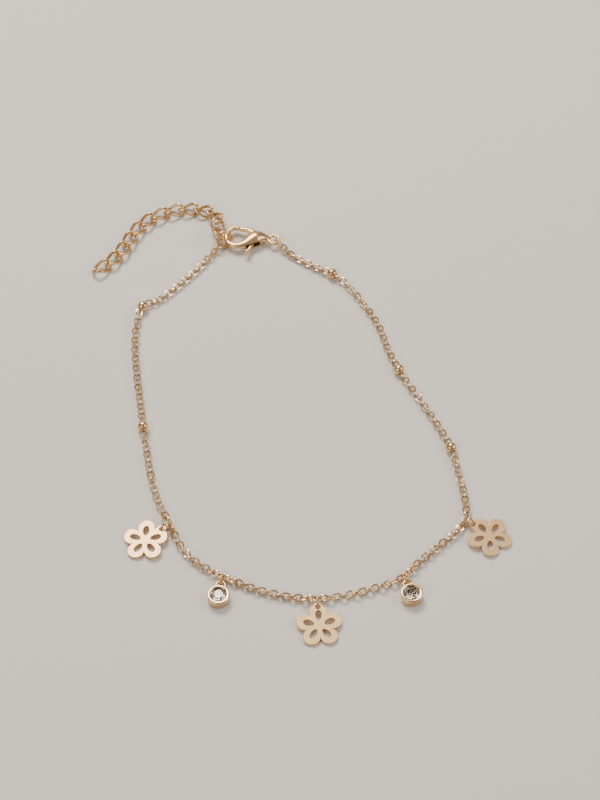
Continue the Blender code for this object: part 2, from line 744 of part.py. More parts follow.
def build_clasp_body(group, cutters, material):
    """Make the clasp's body with its hook, its eye, the lever's slots and the pin's hole."""
    place = Matrix.Translation(clasp_place((0.0, 0.0)))
    shares = [share * HOOK_RADIUS / CLASP_BODY_RADIUS for _, _, share in HOOK_PATH]
    shares += [share for _, _, share in BODY_PATH]
    points = swept_points(HOOK_PATH + BODY_PATH)
    curve = tube_curve("clasp_body", points, 2 * CLASP_BODY_RADIUS, shares=shares, resolution=4)
    body = curve_to_mesh("clasp_body", curve, group, material, place, CLASP_FLATNESS)
    eye_radius = (CLASP_EYE_DIAMETER - CLASP_EYE_WIRE) / 2
    eye_curve = tube_curve(
        "clasp_eye", ring_points(eye_radius, CLASP_EYE_STEPS), CLASP_EYE_WIRE, closed=True
    )
    eye_place = Matrix.Translation(clasp_place(CLASP_EYE_AT))
    eye = curve_to_mesh("clasp_eye", eye_curve, group, material, eye_place)
    boolean(body, eye, "UNION", cutters)
    slot_half = LEVER_RADIUS * LEVER_FLATNESS + LEVER_GAP
    for name, path in (("slot_gate", GATE_PATH), ("slot_tab", TAB_PATH)):
        slot = prism(name, slot_outline(path, LEVER_RADIUS + LEVER_GAP), slot_half, group)
        slot.matrix_world = Matrix.Translation(clasp_place(PIVOT_AT))
        boolean(body, slot, "DIFFERENCE", cutters)
    length = 4 * CLASP_BODY_RADIUS
    hole = pivot_bar("pin_hole_body", PIN_DIAMETER / 2 + PIN_GAP, length, group, None)
    boolean(body, hole, "DIFFERENCE", cutters)


def build_clasp_lever(group, cutters, material):
    """Make the lever: gate, thumb tab and the pin's hole."""
    pivot = Matrix.Translation(clasp_place(PIVOT_AT))
    path = [*GATE_PATH, (*PIVOT_AT, 1.0), *TAB_PATH]
    shares = [share for _, _, share in path]
    curve = tube_curve("clasp_lever", swept_points(path, PIVOT_AT), 2 * LEVER_RADIUS, shares=shares)
    lever = curve_to_mesh("clasp_lever", curve, group, material, pivot, LEVER_FLATNESS)
    shape = bmesh.new()
    bmesh.ops.create_uvsphere(
        shape, u_segments=TAB_SIDES, v_segments=TAB_RINGS, radius=TAB_RADIUS
    )
    mesh = bpy.data.meshes.new("thumb_tab")
    shape.to_mesh(mesh)
    shape.free()
    tab = add_object("thumb_tab", mesh, group, material, Matrix.Translation(clasp_place(TAB_TIP)))
    boolean(lever, tab, "UNION", cutters)
    length = 4 * CLASP_BODY_RADIUS
    hole = pivot_bar("pin_hole_lever", PIN_DIAMETER / 2 + PIN_GAP, length, group, None)
    boolean(lever, hole, "DIFFERENCE", cutters)


def build_clasp(group, cutters, materials):
    """Make the clasp's body, the lever and the pin that it turns on."""
    build_clasp_body(group, cutters, materials["clasp"])
    build_clasp_lever(group, cutters, materials["lever"])
    pivot_bar("clasp_pin", PIN_DIAMETER / 2, PIN_LENGTH, group, materials["pin"])


def build_big_ring(group, material):
    """Make the leaning ring that the hook, the chain and the extender share."""
    centre, level, rising = big_ring_frame()
    points = ring_points((BIG_RING_DIAMETER - BIG_RING_WIRE) / 2, BIG_RING_STEPS)
    curve = tube_curve("big_jump_ring", points, BIG_RING_WIRE, closed=True)
    add_object("big_jump_ring", curve, group, material, frame_matrix(centre, level, level.cross(rising)))


def build_extender(group, material):
    """Make the extender's curb links, the first one upright on the big ring."""
    anchor, _ = on_big_ring(EXTENDER_ANGLE)
    points = [anchor] + [Vector((x * MM, y * MM, z * MM)) for x, y, z in EXTENDER_ROUTE]
    route = Route(points)
    reach = EXTENDER_LENGTH / 2 - EXTENDER_WIRE - BIG_RING_WIRE / 2 - CONTACT_GAP
    sizes = (EXTENDER_LENGTH, EXTENDER_WIDTH, EXTENDER_WIRE, EXTENDER_STEPS)
    plain = link_points(*sizes)
    curb = link_points(*sizes, EXTENDER_TWIST)
    for index in range(EXTENDER_LINKS):
        distance = reach + index * EXTENDER_PITCH
        name = f"extender_link_{index + 1:02d}"
        shape = plain if index == 0 else curb
        normal = compass(EXTENDER_FIRST_TURN) if index == 0 else Vector((0.0, 0.0, 1.0))
        chord = route.at(distance + EXTENDER_PITCH / 2) - route.at(distance - EXTENDER_PITCH / 2)
        matrix = frame_matrix(route.at(distance), chord, normal)
        curve = tube_curve(name, shape, EXTENDER_WIRE, closed=True, resolution=1)
        add_object(name, curve, group, material, matrix)


def main():
    """Build the whole anklet."""
    clear_scene()
    group = make_collection("charm_anklet")
    cutters = make_collection("cutters")
    materials = {
        "chain": make_material("chain_gold", GOLD, 0.28, 1.0),
        "bead": make_material("bead_gold", GOLD, 0.18, 1.0),
        "carrier": make_material("link_gold", GOLD, 0.26, 1.0),
        "ring": make_material("ring_gold", GOLD, 0.24, 1.0),
        "flower": make_material("flower_gold", SATIN_GOLD, 0.42, 1.0),
        "bezel": make_material("bezel_gold", GOLD, 0.2, 1.0),
        "stone": make_material("crystal", CRYSTAL, 0.03, 0.0, 0.5),
        "clasp": make_material("clasp_gold", SATIN_GOLD, 0.3, 1.0),
        "lever": make_material("lever_gold", SATIN_GOLD, 0.3, 1.0),
        "pin": make_material("pin_gold", GOLD, 0.3, 1.0),
        "extender": make_material("extender_gold", GOLD, 0.32, 1.0),
    }
    build_chain(group, materials["chain"])
    build_beads(group, materials["bead"])
    build_end_links(group, materials["carrier"])
    build_charms(group, cutters, materials)
    build_clasp(group, cutters, materials)
    build_big_ring(group, materials["ring"])
    build_extender(group, materials["extender"])


if __name__ == "__main__":
    main()
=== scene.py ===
"""Dressed model of a charm anklet: fine satellite chain, flower charms, set stones and clasp.

Everything is in metres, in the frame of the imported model: the anklet lies on z = 0, +X runs to the
right and +Y towards the clasp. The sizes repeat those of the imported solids.
"""

import logging
import random
from collections.abc import Iterable
from dataclasses import dataclass, field
from enum import Enum
from math import asin, atan2, ceil, cos, degrees, exp, pi, radians, sin, sqrt, tau

import bmesh
import bpy
from mathutils import Matrix, Vector


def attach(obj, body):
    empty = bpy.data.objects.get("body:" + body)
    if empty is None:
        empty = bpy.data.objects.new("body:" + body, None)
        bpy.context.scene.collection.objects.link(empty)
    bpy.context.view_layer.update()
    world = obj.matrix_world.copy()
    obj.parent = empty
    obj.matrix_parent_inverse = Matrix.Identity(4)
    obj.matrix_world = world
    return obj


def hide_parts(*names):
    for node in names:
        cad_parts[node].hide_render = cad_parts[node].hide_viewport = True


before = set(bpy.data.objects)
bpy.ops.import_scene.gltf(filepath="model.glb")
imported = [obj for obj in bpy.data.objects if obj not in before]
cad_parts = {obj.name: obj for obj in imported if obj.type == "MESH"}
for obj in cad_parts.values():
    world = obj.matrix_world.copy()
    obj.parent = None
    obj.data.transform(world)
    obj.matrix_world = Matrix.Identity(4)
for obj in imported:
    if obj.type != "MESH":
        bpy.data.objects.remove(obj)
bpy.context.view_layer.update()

MM = 0.001
UP = Vector((0.0, 0.0, 1.0))
# Rounded end of a bar: its length as a share of the radius, and how slowly it narrows
CAP_REACH = 0.35
CAP_FALL = 0.6
# Edges whose ends differ in height by less than this are level
LEVEL_EDGE = 0.01 * MM
log = logging.getLogger("charm_anklet")


class Rides(Enum):
    """The bodies of the anklet that a piece can move with."""

    ANKLET = "anklet"
    LEVER = "lever"


class Station(Enum):
    """What interrupts the fine chain at a station."""

    BEAD = "bead"
    CHARM = "charm"
    END = "end"


# Route of the fine chain as it lies, from the big ring round to the clasp, in millimetres
CHAIN_ROUTE = [
    ("", -18.15, 37.83), ("", -21.15, 33.92), ("", -24.75, 29.82), ("", -27.75, 27.02),
    ("bead_left_back", -30.55, 25.32), ("", -31.55, 21.32), ("", -31.65, 15.43),
    ("", -30.85, 7.72), ("", -29.85, 0.93), ("bead_left_front", -28.95, -5.47),
    ("", -27.95, -11.27), ("", -26.65, -17.98), ("", -25.05, -23.27),
    ("flower_left", -22.7, -28.38), ("", -20.85, -32.48), ("", -18.75, -35.48),
    ("", -15.85, -37.88), ("stone_left", -12.6, -39.77), ("", -9.35, -41.27), ("", -5.25, -42.88),
    ("", -0.05, -44.17), ("flower_centre", 4.85, -44.58), ("", 10.05, -43.88),
    ("", 14.95, -42.48), ("", 18.5, -41.08), ("stone_right", 21.15, -39.48), ("", 24.05, -36.48),
    ("", 27.55, -33.17), ("", 30.65, -30.38), ("flower_right", 32.95, -27.18),
    ("", 33.15, -22.57), ("", 32.25, -16.77), ("bead_right_front", 31.05, -10.57),
    ("", 28.55, -4.58), ("", 25.35, 1.62), ("bead_right_middle", 21.55, 8.72),
    ("", 19.55, 14.12), ("", 17.65, 20.73), ("", 14.15, 27.43), ("", 11.05, 32.02),
    ("bead_right_back", 8.45, 34.23), ("", 3.85, 37.02), ("", 0.25, 39.52),
]
# Route of the extender as it lies, from beside the big ring to its free end, in millimetres
EXTENDER_ROUTE = [
    (-15.8, 45.52, 1.9), (-15.6, 48.42, 1.5), (-17.0, 51.23, 1.1), (-20.1, 52.42, 1.0),
    (-23.3, 52.52, 1.0), (-26.2, 51.83, 1.0), (-29.0, 50.52, 1.0), (-31.4, 48.52, 1.0),
    (-33.2, 46.02, 1.0), (-34.5, 43.23, 1.0), (-35.8, 40.52, 1.0), (-37.4, 38.12, 1.0),
    (-39.7, 35.92, 1.0), (-42.3, 34.33, 1.0),
]
# Charms: station, ground direction from the chain, turn of the petals from the eye
FLOWERS = [
    ("flower_left", -142.6, -22.0), ("flower_centre", -85.7, 0.0), ("flower_right", -40.7, -12.0),
]
STONES = [("stone_left", -97.0), ("stone_right", -76.0)]


def linear_colour(code: str) -> tuple[float, float, float, float]:
    """Turn an sRGB hex value into a linear colour.

    Args:
        code: the colour as six hex digits.

    Returns:
        The linear red, green, blue and full alpha.
    """
    channels = []
    for start in (0, 2, 4):
        value = int(code[start:start + 2], 16) / 255.0
        channels.append(value / 12.92 if value <= 0.04045 else ((value + 0.055) / 1.055) ** 2.4)
    return (*channels, 1.0)


def add_node(tree: bpy.types.NodeTree, kind: str, settings: dict | None = None,
             values: dict | None = None, links: dict | None = None) -> bpy.types.Node:
    """Add a node with its settings, its socket values and the links into it.

    Args:
        tree: the node tree.
        kind: the node's type name.
        settings: attributes of the node.
        values: socket name or number to its value.
        links: socket name or number to the output socket that feeds it.

    Returns:
        The new node.
    """
    node = tree.nodes.new(kind)
    for name, value in (settings or {}).items():
        setattr(node, name, value)
    for name, value in (values or {}).items():
        node.inputs[name].default_value = value
    for name, source in (links or {}).items():
        tree.links.new(source, node.inputs[name])
    return node


@dataclass(frozen=True)
class PlatedGold:
    """Gold plating on brass: warm metal with faint colour drift and a fine surface grain."""

    name: str
    colour: str
    deep_colour: str
    roughness: float
    roughness_spread: float
    grain_mm: float
    bump_mm: float
    drift_mm: float = 2.5

    def build(self) -> bpy.types.Material:
        """Return the plating's material."""
        material = bpy.data.materials.new(self.name)
        material.use_nodes = True
        tree = material.node_tree
        shader = tree.nodes["Principled BSDF"]
        shader.inputs["Metallic"].default_value = 1.0
        place = add_node(tree, "ShaderNodeTexCoord")
        drift = add_node(
            tree, "ShaderNodeTexNoise",
            values={"Scale": 1.0 / (self.drift_mm * MM), "Detail": 3.0, "Roughness": 0.55},
            links={"Vector": place.outputs["Object"]},
        )
        tint = add_node(
            tree, "ShaderNodeMix", {"data_type": "RGBA"},
            {6: linear_colour(self.colour), 7: linear_colour(self.deep_colour)},
        )
        share = add_node(
            tree, "ShaderNodeMapRange",
            values={"From Min": 0.35, "From Max": 0.75, "To Min": 0.0, "To Max": 1.0},
            links={"Value": drift.outputs["Fac"]},
        )
        tree.links.new(share.outputs["Result"], tint.inputs["Factor"])
        grain = add_node(
            tree, "ShaderNodeTexNoise",
            values={"Scale": 1.0 / (self.grain_mm * MM), "Detail": 4.0, "Roughness": 0.6},
            links={"Vector": place.outputs["Object"]},
        )
        gloss = add_node(
            tree, "ShaderNodeMapRange",
            values={
                "From Min": 0.3, "From Max": 0.7,
                "To Min": self.roughness - self.roughness_spread,
                "To Max": self.roughness + self.roughness_spread,
            },
            links={"Value": grain.outputs["Fac"]},
        )
        relief = add_node(
            tree, "ShaderNodeBump",
            values={"Strength": 1.0, "Distance": self.bump_mm * MM},
            links={"Height": grain.outputs["Fac"]},
        )
        tree.links.new(tint.outputs[2], shader.inputs["Base Color"])
        tree.links.new(gloss.outputs["Result"], shader.inputs["Roughness"])
        tree.links.new(relief.outputs["Normal"], shader.inputs["Normal"])
        return material


@dataclass(frozen=True)
class CubicZirconia:
    """Clear cut stone: high refraction, polished flat facets, faint warm body colour."""

    name: str = "clear_cubic_zirconia"
    colour: str = "F6ECE0"
    refraction: float = 2.16
    cloud_mm: float = 0.8

    def build(self) -> bpy.types.Material:
        """Return the stone's material."""
        material = bpy.data.materials.new(self.name)
        material.use_nodes = True
        tree = material.node_tree
        shader = tree.nodes["Principled BSDF"]
        shader.inputs["Base Color"].default_value = linear_colour(self.colour)
        shader.inputs["Transmission Weight"].default_value = 1.0
        shader.inputs["IOR"].default_value = self.refraction
        place = add_node(tree, "ShaderNodeTexCoord")
        cloud = add_node(
            tree, "ShaderNodeTexNoise",
            values={"Scale": 1.0 / (self.cloud_mm * MM), "Detail": 2.0},
            links={"Vector": place.outputs["Object"]},
        )
        polish = add_node(
            tree, "ShaderNodeMapRange",
            values={"From Min": 0.3, "From Max": 0.8, "To Min": 0.0, "To Max": 0.03},
            links={"Value": cloud.outputs["Fac"]},
        )
        tree.links.new(polish.outputs["Result"], shader.inputs["Roughness"])
        return material


@dataclass(frozen=True)
class PaperFloor:
    """Plain pale backdrop paper."""

    name: str = "pale_paper"
    colour: str = "E4E0DA"

    def build(self) -> bpy.types.Material:
        """Return the paper's material."""
        material = bpy.data.materials.new(self.name)
        material.use_nodes = True
        shader = material.node_tree.nodes["Principled BSDF"]
        shader.inputs["Base Color"].default_value = linear_colour(self.colour)
        shader.inputs["Roughness"].default_value = 0.75
        return material


# Drawn and polished wire of the chain links, a little worn at the crowns
LINK_GOLD = PlatedGold("polished_link_gold", "EBCDA2", "D9B384", 0.24, 0.06, 0.35, 0.004)
# Tumbled hollow beads, the brightest polish of the chain
BEAD_GOLD = PlatedGold("polished_bead_gold", "ECC99A", "DAB07D", 0.25, 0.06, 0.5, 0.006)
# Jump rings of harder drawn wire
RING_GOLD = PlatedGold("polished_ring_gold", "E8C596", "D6AB76", 0.22, 0.06, 0.4, 0.004)
# Stamped flower plates with a fine satin face
FLOWER_GOLD = PlatedGold("satin_flower_gold", "F1CE9E", "EBC28F", 0.40, 0.05, 0.16, 0.006)
# Spun bezel cups, polished
BEZEL_GOLD = PlatedGold("polished_bezel_gold", "ECCCA0", "DBB384", 0.20, 0.05, 0.5, 0.004)
# Cast clasp, tumbled to a soft grainy polish
CLASP_GOLD = PlatedGold("tumbled_clasp_gold", "F0CC98", "E2B880", 0.30, 0.07, 0.3, 0.012)
# Pressed curb links, softly polished
CURB_GOLD = PlatedGold("soft_curb_gold", "E2BC88", "CFA26C", 0.30, 0.07, 0.3, 0.006)

SLOT_FINISHES = {
    "chain_gold": LINK_GOLD, "link_gold": LINK_GOLD, "bead_gold": BEAD_GOLD,
    "ring_gold": RING_GOLD, "pin_gold": RING_GOLD, "flower_gold": FLOWER_GOLD,
    "bezel_gold": BEZEL_GOLD, "clasp_gold": CLASP_GOLD, "lever_gold": CLASP_GOLD,
    "extender_gold": CURB_GOLD, "crystal": CubicZirconia(),
}


def material_of(finish: PlatedGold | CubicZirconia | PaperFloor) -> bpy.types.Material:
    """Return the material of a finish, built at its first use."""
    return bpy.data.materials.get(finish.name) or finish.build()


def spoke(angle: float) -> Vector:
    """Return the level unit vector at an angle in radians from +X."""
    return Vector((cos(angle), sin(angle), 0.0))


def compass(angle: float) -> Vector:
    """Return the level unit vector at an angle in degrees from +X."""
    return spoke(radians(angle))


def frame_matrix(origin: Vector, long_axis: Vector, normal: Vector) -> Matrix:
    """Return a place whose X is the long axis and whose Z is the normal made square to it."""
    x_axis = long_axis.normalized()
    z_axis = (normal - x_axis * normal.dot(x_axis)).normalized()
    y_axis = z_axis.cross(x_axis)
    turn = Matrix((x_axis, y_axis, z_axis)).transposed().to_4x4()
    return Matrix.Translation(origin) @ turn


def smooth_curve(points: list[Vector], steps: int = 12) -> list[Vector]:
    """Return a dense smooth curve through the points, by centripetal interpolation.

    Args:
        points: the chosen points.
        steps: how many points each run between two of them gets.

    Returns:
        The dense points, from the first chosen point to the last.
    """
    ends = [points[0] * 2 - points[1], *points, points[-1] * 2 - points[-2]]
    dense = []
    for index in range(1, len(ends) - 2):
        p0, p1, p2, p3 = ends[index - 1:index + 3]
        t1 = sqrt((p1 - p0).length)
        t2 = t1 + sqrt((p2 - p1).length)
        t3 = t2 + sqrt((p3 - p2).length)
        for step in range(steps):
            t = t1 + (t2 - t1) * step / steps
            a1 = p0.lerp(p1, t / t1)
            a2 = p1.lerp(p2, (t - t1) / (t2 - t1))
            a3 = p2.lerp(p3, (t - t2) / (t3 - t2))
            b1 = a1.lerp(a2, t / t2)
            b2 = a2.lerp(a3, (t - t1) / (t3 - t1))
            dense.append(b1.lerp(b2, (t - t1) / (t2 - t1)))
    dense.append(points[-1].copy())
    return dense


class Route:
    """A smooth curve that is read by the length along it."""

    def __init__(self, points: list[Vector]) -> None:
        """Store the dense curve and the length reached at each of its points."""
        self.places = smooth_curve(points)
        self.reached = [0.0]
        for start, end in zip(self.places, self.places[1:]):
            self.reached.append(self.reached[-1] + (end - start).length)
        self.length = self.reached[-1]

    def at(self, distance: float) -> Vector:
        """Return the point at a length along the curve, past its ends along the end runs."""
        index = 1
        while index < len(self.reached) - 1 and self.reached[index] < distance:
            index += 1
        span = self.reached[index] - self.reached[index - 1]
        share = (distance - self.reached[index - 1]) / span
        return self.places[index - 1].lerp(self.places[index], share)

    def along(self, distance: float, reach: float = 0.3 * MM) -> Vector:
        """Return the unit direction of the curve at a length along it."""
        return (self.at(distance + reach) - self.at(distance - reach)).normalized()

    def nearest(self, place: Vector) -> float:
        """Return the length along the curve at its dense point closest to a place."""
        gaps = [(point - place).length for point in self.places]
        return self.reached[gaps.index(min(gaps))]


def mesh_of(name: str, shape: bmesh.types.BMesh) -> bpy.types.Mesh:
    """Return the mesh of a bmesh, which is freed."""
    mesh = bpy.data.meshes.new(name)
    shape.to_mesh(mesh)
    shape.free()
    return mesh


def in_scene(name: str, data: bpy.types.ID) -> bpy.types.Object:
    """Return a new object of a mesh, light or camera, at the scene's origin."""
    thing = bpy.data.objects.new(name, data)
    bpy.context.scene.collection.objects.link(thing)
    return thing


def made_parts(swept: dict, kind: type) -> list:
    """Return the parts of one kind among those that an extrusion made."""
    return [part for part in swept["geom"] if isinstance(part, kind)]


def level_edges(edges: Iterable[bmesh.types.BMEdge]) -> list[bmesh.types.BMEdge]:
    """Return the edges whose two ends are at the same height."""
    return [edge for edge in edges
            if abs(edge.verts[0].co.z - edge.verts[1].co.z) < LEVEL_EDGE]


def new_piece(name: str, shape: bmesh.types.BMesh, slot: str, node: str, sharp: float = 40.0,
              body: Rides = Rides.ANKLET) -> bpy.types.Object:
    """Turn a finished bmesh into a piece that rides on a body.

    Args:
        name: the piece's name.
        shape: the bmesh, in world places; it is freed.
        slot: the record's material slot, which sets the finish.
        node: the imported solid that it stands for.
        sharp: the angle in degrees past which an edge stays sharp.
        body: the body that it moves with.

    Returns:
        The piece's object, at the origin.
    """
    mesh = mesh_of(name, shape)
    mesh.materials.append(material_of(SLOT_FINISHES[slot]))
    mesh.shade_smooth()
    mesh.set_sharp_from_angle(angle=radians(sharp))
    piece = in_scene(name, mesh)
    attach(piece, body.value)
    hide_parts(node)
    log.info("%s: %d faces", name, len(mesh.polygons))
    return piece


def clean(shape: bmesh.types.BMesh) -> bmesh.types.BMesh:
    """Merge a bmesh's doubles and point its faces outwards."""
    bmesh.ops.remove_doubles(shape, verts=shape.verts, dist=0.0005 * MM)
    bmesh.ops.recalc_face_normals(shape, faces=shape.faces)
    return shape


def spun_ring(diameter: float, wire: float, steps: int, sides: int,
              cut: float = 0.0) -> bmesh.types.BMesh:
    """Spin a wire's circle into a ring about +Z.

    Args:
        diameter: outer diameter of the ring.
        wire: diameter of the wire.
        steps: steps round the ring.
        sides: sides of the wire.
        cut: angle in degrees of the cut of a jump ring, 0 for a closed ring.

    Returns:
        The ring, round the origin, with its cut about +X.
    """
    shape = bmesh.new()
    middle = Matrix.Translation(((diameter - wire) / 2, 0.0, 0.0))
    start = Matrix.Rotation(radians(cut / 2), 4, "Z") @ middle
    bmesh.ops.create_circle(
        shape, cap_ends=False, segments=sides, radius=wire / 2,
        matrix=start @ Matrix.Rotation(pi / 2, 4, "X"),
    )
    first = shape.edges[:]
    swept = bmesh.ops.spin(
        shape, geom=first, cent=(0.0, 0.0, 0.0), axis=(0.0, 0.0, 1.0),
        angle=tau - radians(cut), steps=steps, use_merge=cut == 0.0,
    )
    if cut:
        last = [part for part in swept["geom_last"] if isinstance(part, bmesh.types.BMEdge)]
        bmesh.ops.edgeloop_fill(shape, edges=first)
        bmesh.ops.edgeloop_fill(shape, edges=last)
    return clean(shape)


@dataclass
class Link:
    """One oval link of round wire, twisted out of its plane in a curb chain."""

    length: float
    width: float
    wire: float
    twist: float = 0.0
    steps: int = 16
    sides: int = 8

    def centre(self, angle: float) -> Vector:
        """Return the wire's centre at an angle round the link."""
        return Vector((
            (self.length - self.wire) / 2 * cos(angle),
            (self.width - self.wire) / 2 * sin(angle),
            self.twist * sin(2 * angle),
        ))

    def wire_direction(self, angle: float) -> Vector:
        """Return the wire's direction at an angle round the link."""
        step = 0.01
        return (self.centre(angle + step) - self.centre(angle - step)).normalized()

    def mesh(self, name: str) -> bpy.types.Mesh:
        """Return the link's mesh: a spun ring whose every section is moved to the oval.

        Args:
            name: the mesh's name.

        Returns:
            The mesh, with its long axis on X.
        """
        major = self.width / 2
        shape = spun_ring(self.width + self.wire, self.wire, self.steps, self.sides)
        for vertex in shape.verts:
            angle = atan2(vertex.co.y, vertex.co.x)
            outwards = sqrt(vertex.co.x ** 2 + vertex.co.y ** 2) - major
            direction = self.wire_direction(angle)
            side = direction.cross(UP).normalized()
            vertex.co = self.centre(angle) + side * outwards + side.cross(direction) * vertex.co.z
        return mesh_of(name, shape)


def joined(template: bpy.types.Mesh, places: list[Matrix]) -> bmesh.types.BMesh:
    """Return one bmesh with a copy of the template at each place."""
    shape = bmesh.new()
    for place in places:
        before = len(shape.verts)
        shape.from_mesh(template)
        shape.verts.ensure_lookup_table()
        bmesh.ops.transform(shape, matrix=place, verts=shape.verts[before:])
    return shape


def cap_stations(point: Vector, outwards: Vector, radius: float) -> list[tuple[Vector, float]]:
    """Return the places and radii of a bar's rounded end, from its widest section outwards."""
    angles = [radians(angle) for angle in (28.0, 55.0, 80.0)]
    return [
        (point + outwards * (radius * CAP_REACH * sin(angle)), radius * cos(angle) ** CAP_FALL)
        for angle in angles
    ]


def swept_bar(points: list[Vector], radii: list[float], sides: int,
              flatness: float) -> bmesh.types.BMesh:
    """Extrude a circle along a level path into a bar with rounded ends.

    Args:
        points: the path's points, in one level plane.
        radii: the bar's radius at each point.
        sides: sides of the bar.
        flatness: the bar's height as a share of its width.

    Returns:
        The closed bar.
    """
    shape = bmesh.new()
    first = (points[0] - points[1]).normalized()
    last = (points[-1] - points[-2]).normalized()
    caps = cap_stations(points[0], first, radii[0])
    stations = [(spot, -first, radius) for spot, radius in reversed(caps)]
    for index, point in enumerate(points):
        before = points[max(0, index - 1)]
        after = points[min(len(points) - 1, index + 1)]
        stations.append((point, (after - before).normalized(), radii[index]))
    caps = cap_stations(points[-1], last, radii[-1])
    stations += [(spot, last, radius) for spot, radius in caps]
    places = []
    for point, direction, radius in stations:
        turn = frame_matrix(point, UP, direction)
        places.append(turn @ Matrix.Diagonal((radius * flatness, radius, 1.0, 1.0)))
    bmesh.ops.create_circle(shape, cap_ends=False, segments=sides, radius=1.0, matrix=places[0])
    loop = shape.edges[:]
    bmesh.ops.edgeloop_fill(shape, edges=loop)
    for previous, place in zip(places, places[1:]):
        grown = bmesh.ops.extrude_edge_only(shape, edges=loop)
        corners = made_parts(grown, bmesh.types.BMVert)
        loop = [edge for edge in made_parts(grown, bmesh.types.BMEdge)
                if all(corner in corners for corner in edge.verts)]
        bmesh.ops.transform(shape, matrix=place @ previous.inverted(), verts=corners)
    bmesh.ops.edgeloop_fill(shape, edges=loop)
    bmesh.ops.recalc_face_normals(shape, faces=shape.faces)
    return shape


def turned(profile: list[tuple[float, float]], steps: int) -> bmesh.types.BMesh:
    """Spin a profile of radius and height about +Z into a closed turned shape."""
    shape = bmesh.new()
    corners = [shape.verts.new((radius, 0.0, height)) for radius, height in profile]
    for start, end in zip(corners, corners[1:]):
        shape.edges.new((start, end))
    if profile[0][0] > 0.0:
        shape.edges.new((corners[-1], corners[0]))
    bmesh.ops.spin(
        shape, geom=shape.edges[:], cent=(0.0, 0.0, 0.0), axis=(0.0, 0.0, 1.0),
        angle=tau, steps=steps, use_merge=True,
    )
    return clean(shape)


def arc_points(centre: tuple[float, float], radius: float, start: float, end: float,
               steps: int) -> list[tuple[float, float]]:
    """Return points of an arc in a profile, angles in degrees."""
    points = []
    for index in range(steps + 1):
        angle = radians(start + (end - start) * index / steps)
        points.append((centre[0] + radius * cos(angle), centre[1] + radius * sin(angle)))
    return points


def combined(base: bmesh.types.BMesh,
             tools: list[tuple[bmesh.types.BMesh, str]]) -> bmesh.types.BMesh:
    """Cut or join a shape with other shapes.

    Args:
        base: the shape to work on.
        tools: each tool shape and its Boolean operation.

    Returns:
        The combined shape.
    """
    shapes = [base, *(tool for tool, _ in tools)]
    helpers = [in_scene("helper", mesh_of("helper", shape)) for shape in shapes]
    for helper, (_, operation) in zip(helpers[1:], tools):
        modifier = helpers[0].modifiers.new("step", "BOOLEAN")
        modifier.operation = operation
        modifier.solver = "EXACT"
        modifier.object = helper
    graph = bpy.context.evaluated_depsgraph_get()
    result = bmesh.new()
    result.from_mesh(bpy.data.meshes.new_from_object(helpers[0].evaluated_get(graph)))
    for helper in helpers:
        bpy.data.objects.remove(helper, do_unlink=True)
    return result


@dataclass
class BigRing:
    """The big jump ring that the hook, the chain and the extender share."""

    diameter: float = 3.9 * MM
    wire: float = 0.6 * MM
    lean: float = 27.0
    turn: float = -61.0
    offset: float = 0.5 * MM
    cut: float = 2.4
    cut_at: float = 258.0
    crossing: Vector = field(default_factory=lambda: Vector((-13.65 * MM, 43.27 * MM, 1.4 * MM)))

    def axes(self) -> tuple[Vector, Vector, Vector]:
        """Return the ring's centre, its level axis and its rising axis."""
        level = compass(self.turn + 90.0)
        rising = compass(self.turn) * -sin(radians(self.lean)) + UP * cos(radians(self.lean))
        height = (self.diameter - self.wire) / 2 * cos(radians(self.lean)) + self.wire / 2
        climb = (height - self.crossing.z) / cos(radians(self.lean))
        return self.crossing - level * self.offset + rising * climb, level, rising

    def contact(self, angle: float) -> tuple[Vector, Vector]:
        """Return the wire's centre at an angle in degrees, and its direction there."""
        centre, level, rising = self.axes()
        across = level * cos(radians(angle)) + rising * sin(radians(angle))
        wire = rising * cos(radians(angle)) - level * sin(radians(angle))
        return centre + across * ((self.diameter - self.wire) / 2), wire

    def build(self) -> None:
        """Make the ring, with its cut at the low side away from the hook."""
        centre, level, rising = self.axes()
        shape = spun_ring(self.diameter, self.wire, 56, 14, self.cut)
        turn = Matrix.Rotation(radians(self.cut_at), 4, "Z")
        place = frame_matrix(centre, level, level.cross(rising)) @ turn
        bmesh.ops.transform(shape, matrix=place, verts=shape.verts)
        new_piece("big_jump_ring_wire", shape, "ring_gold", "big_jump_ring")


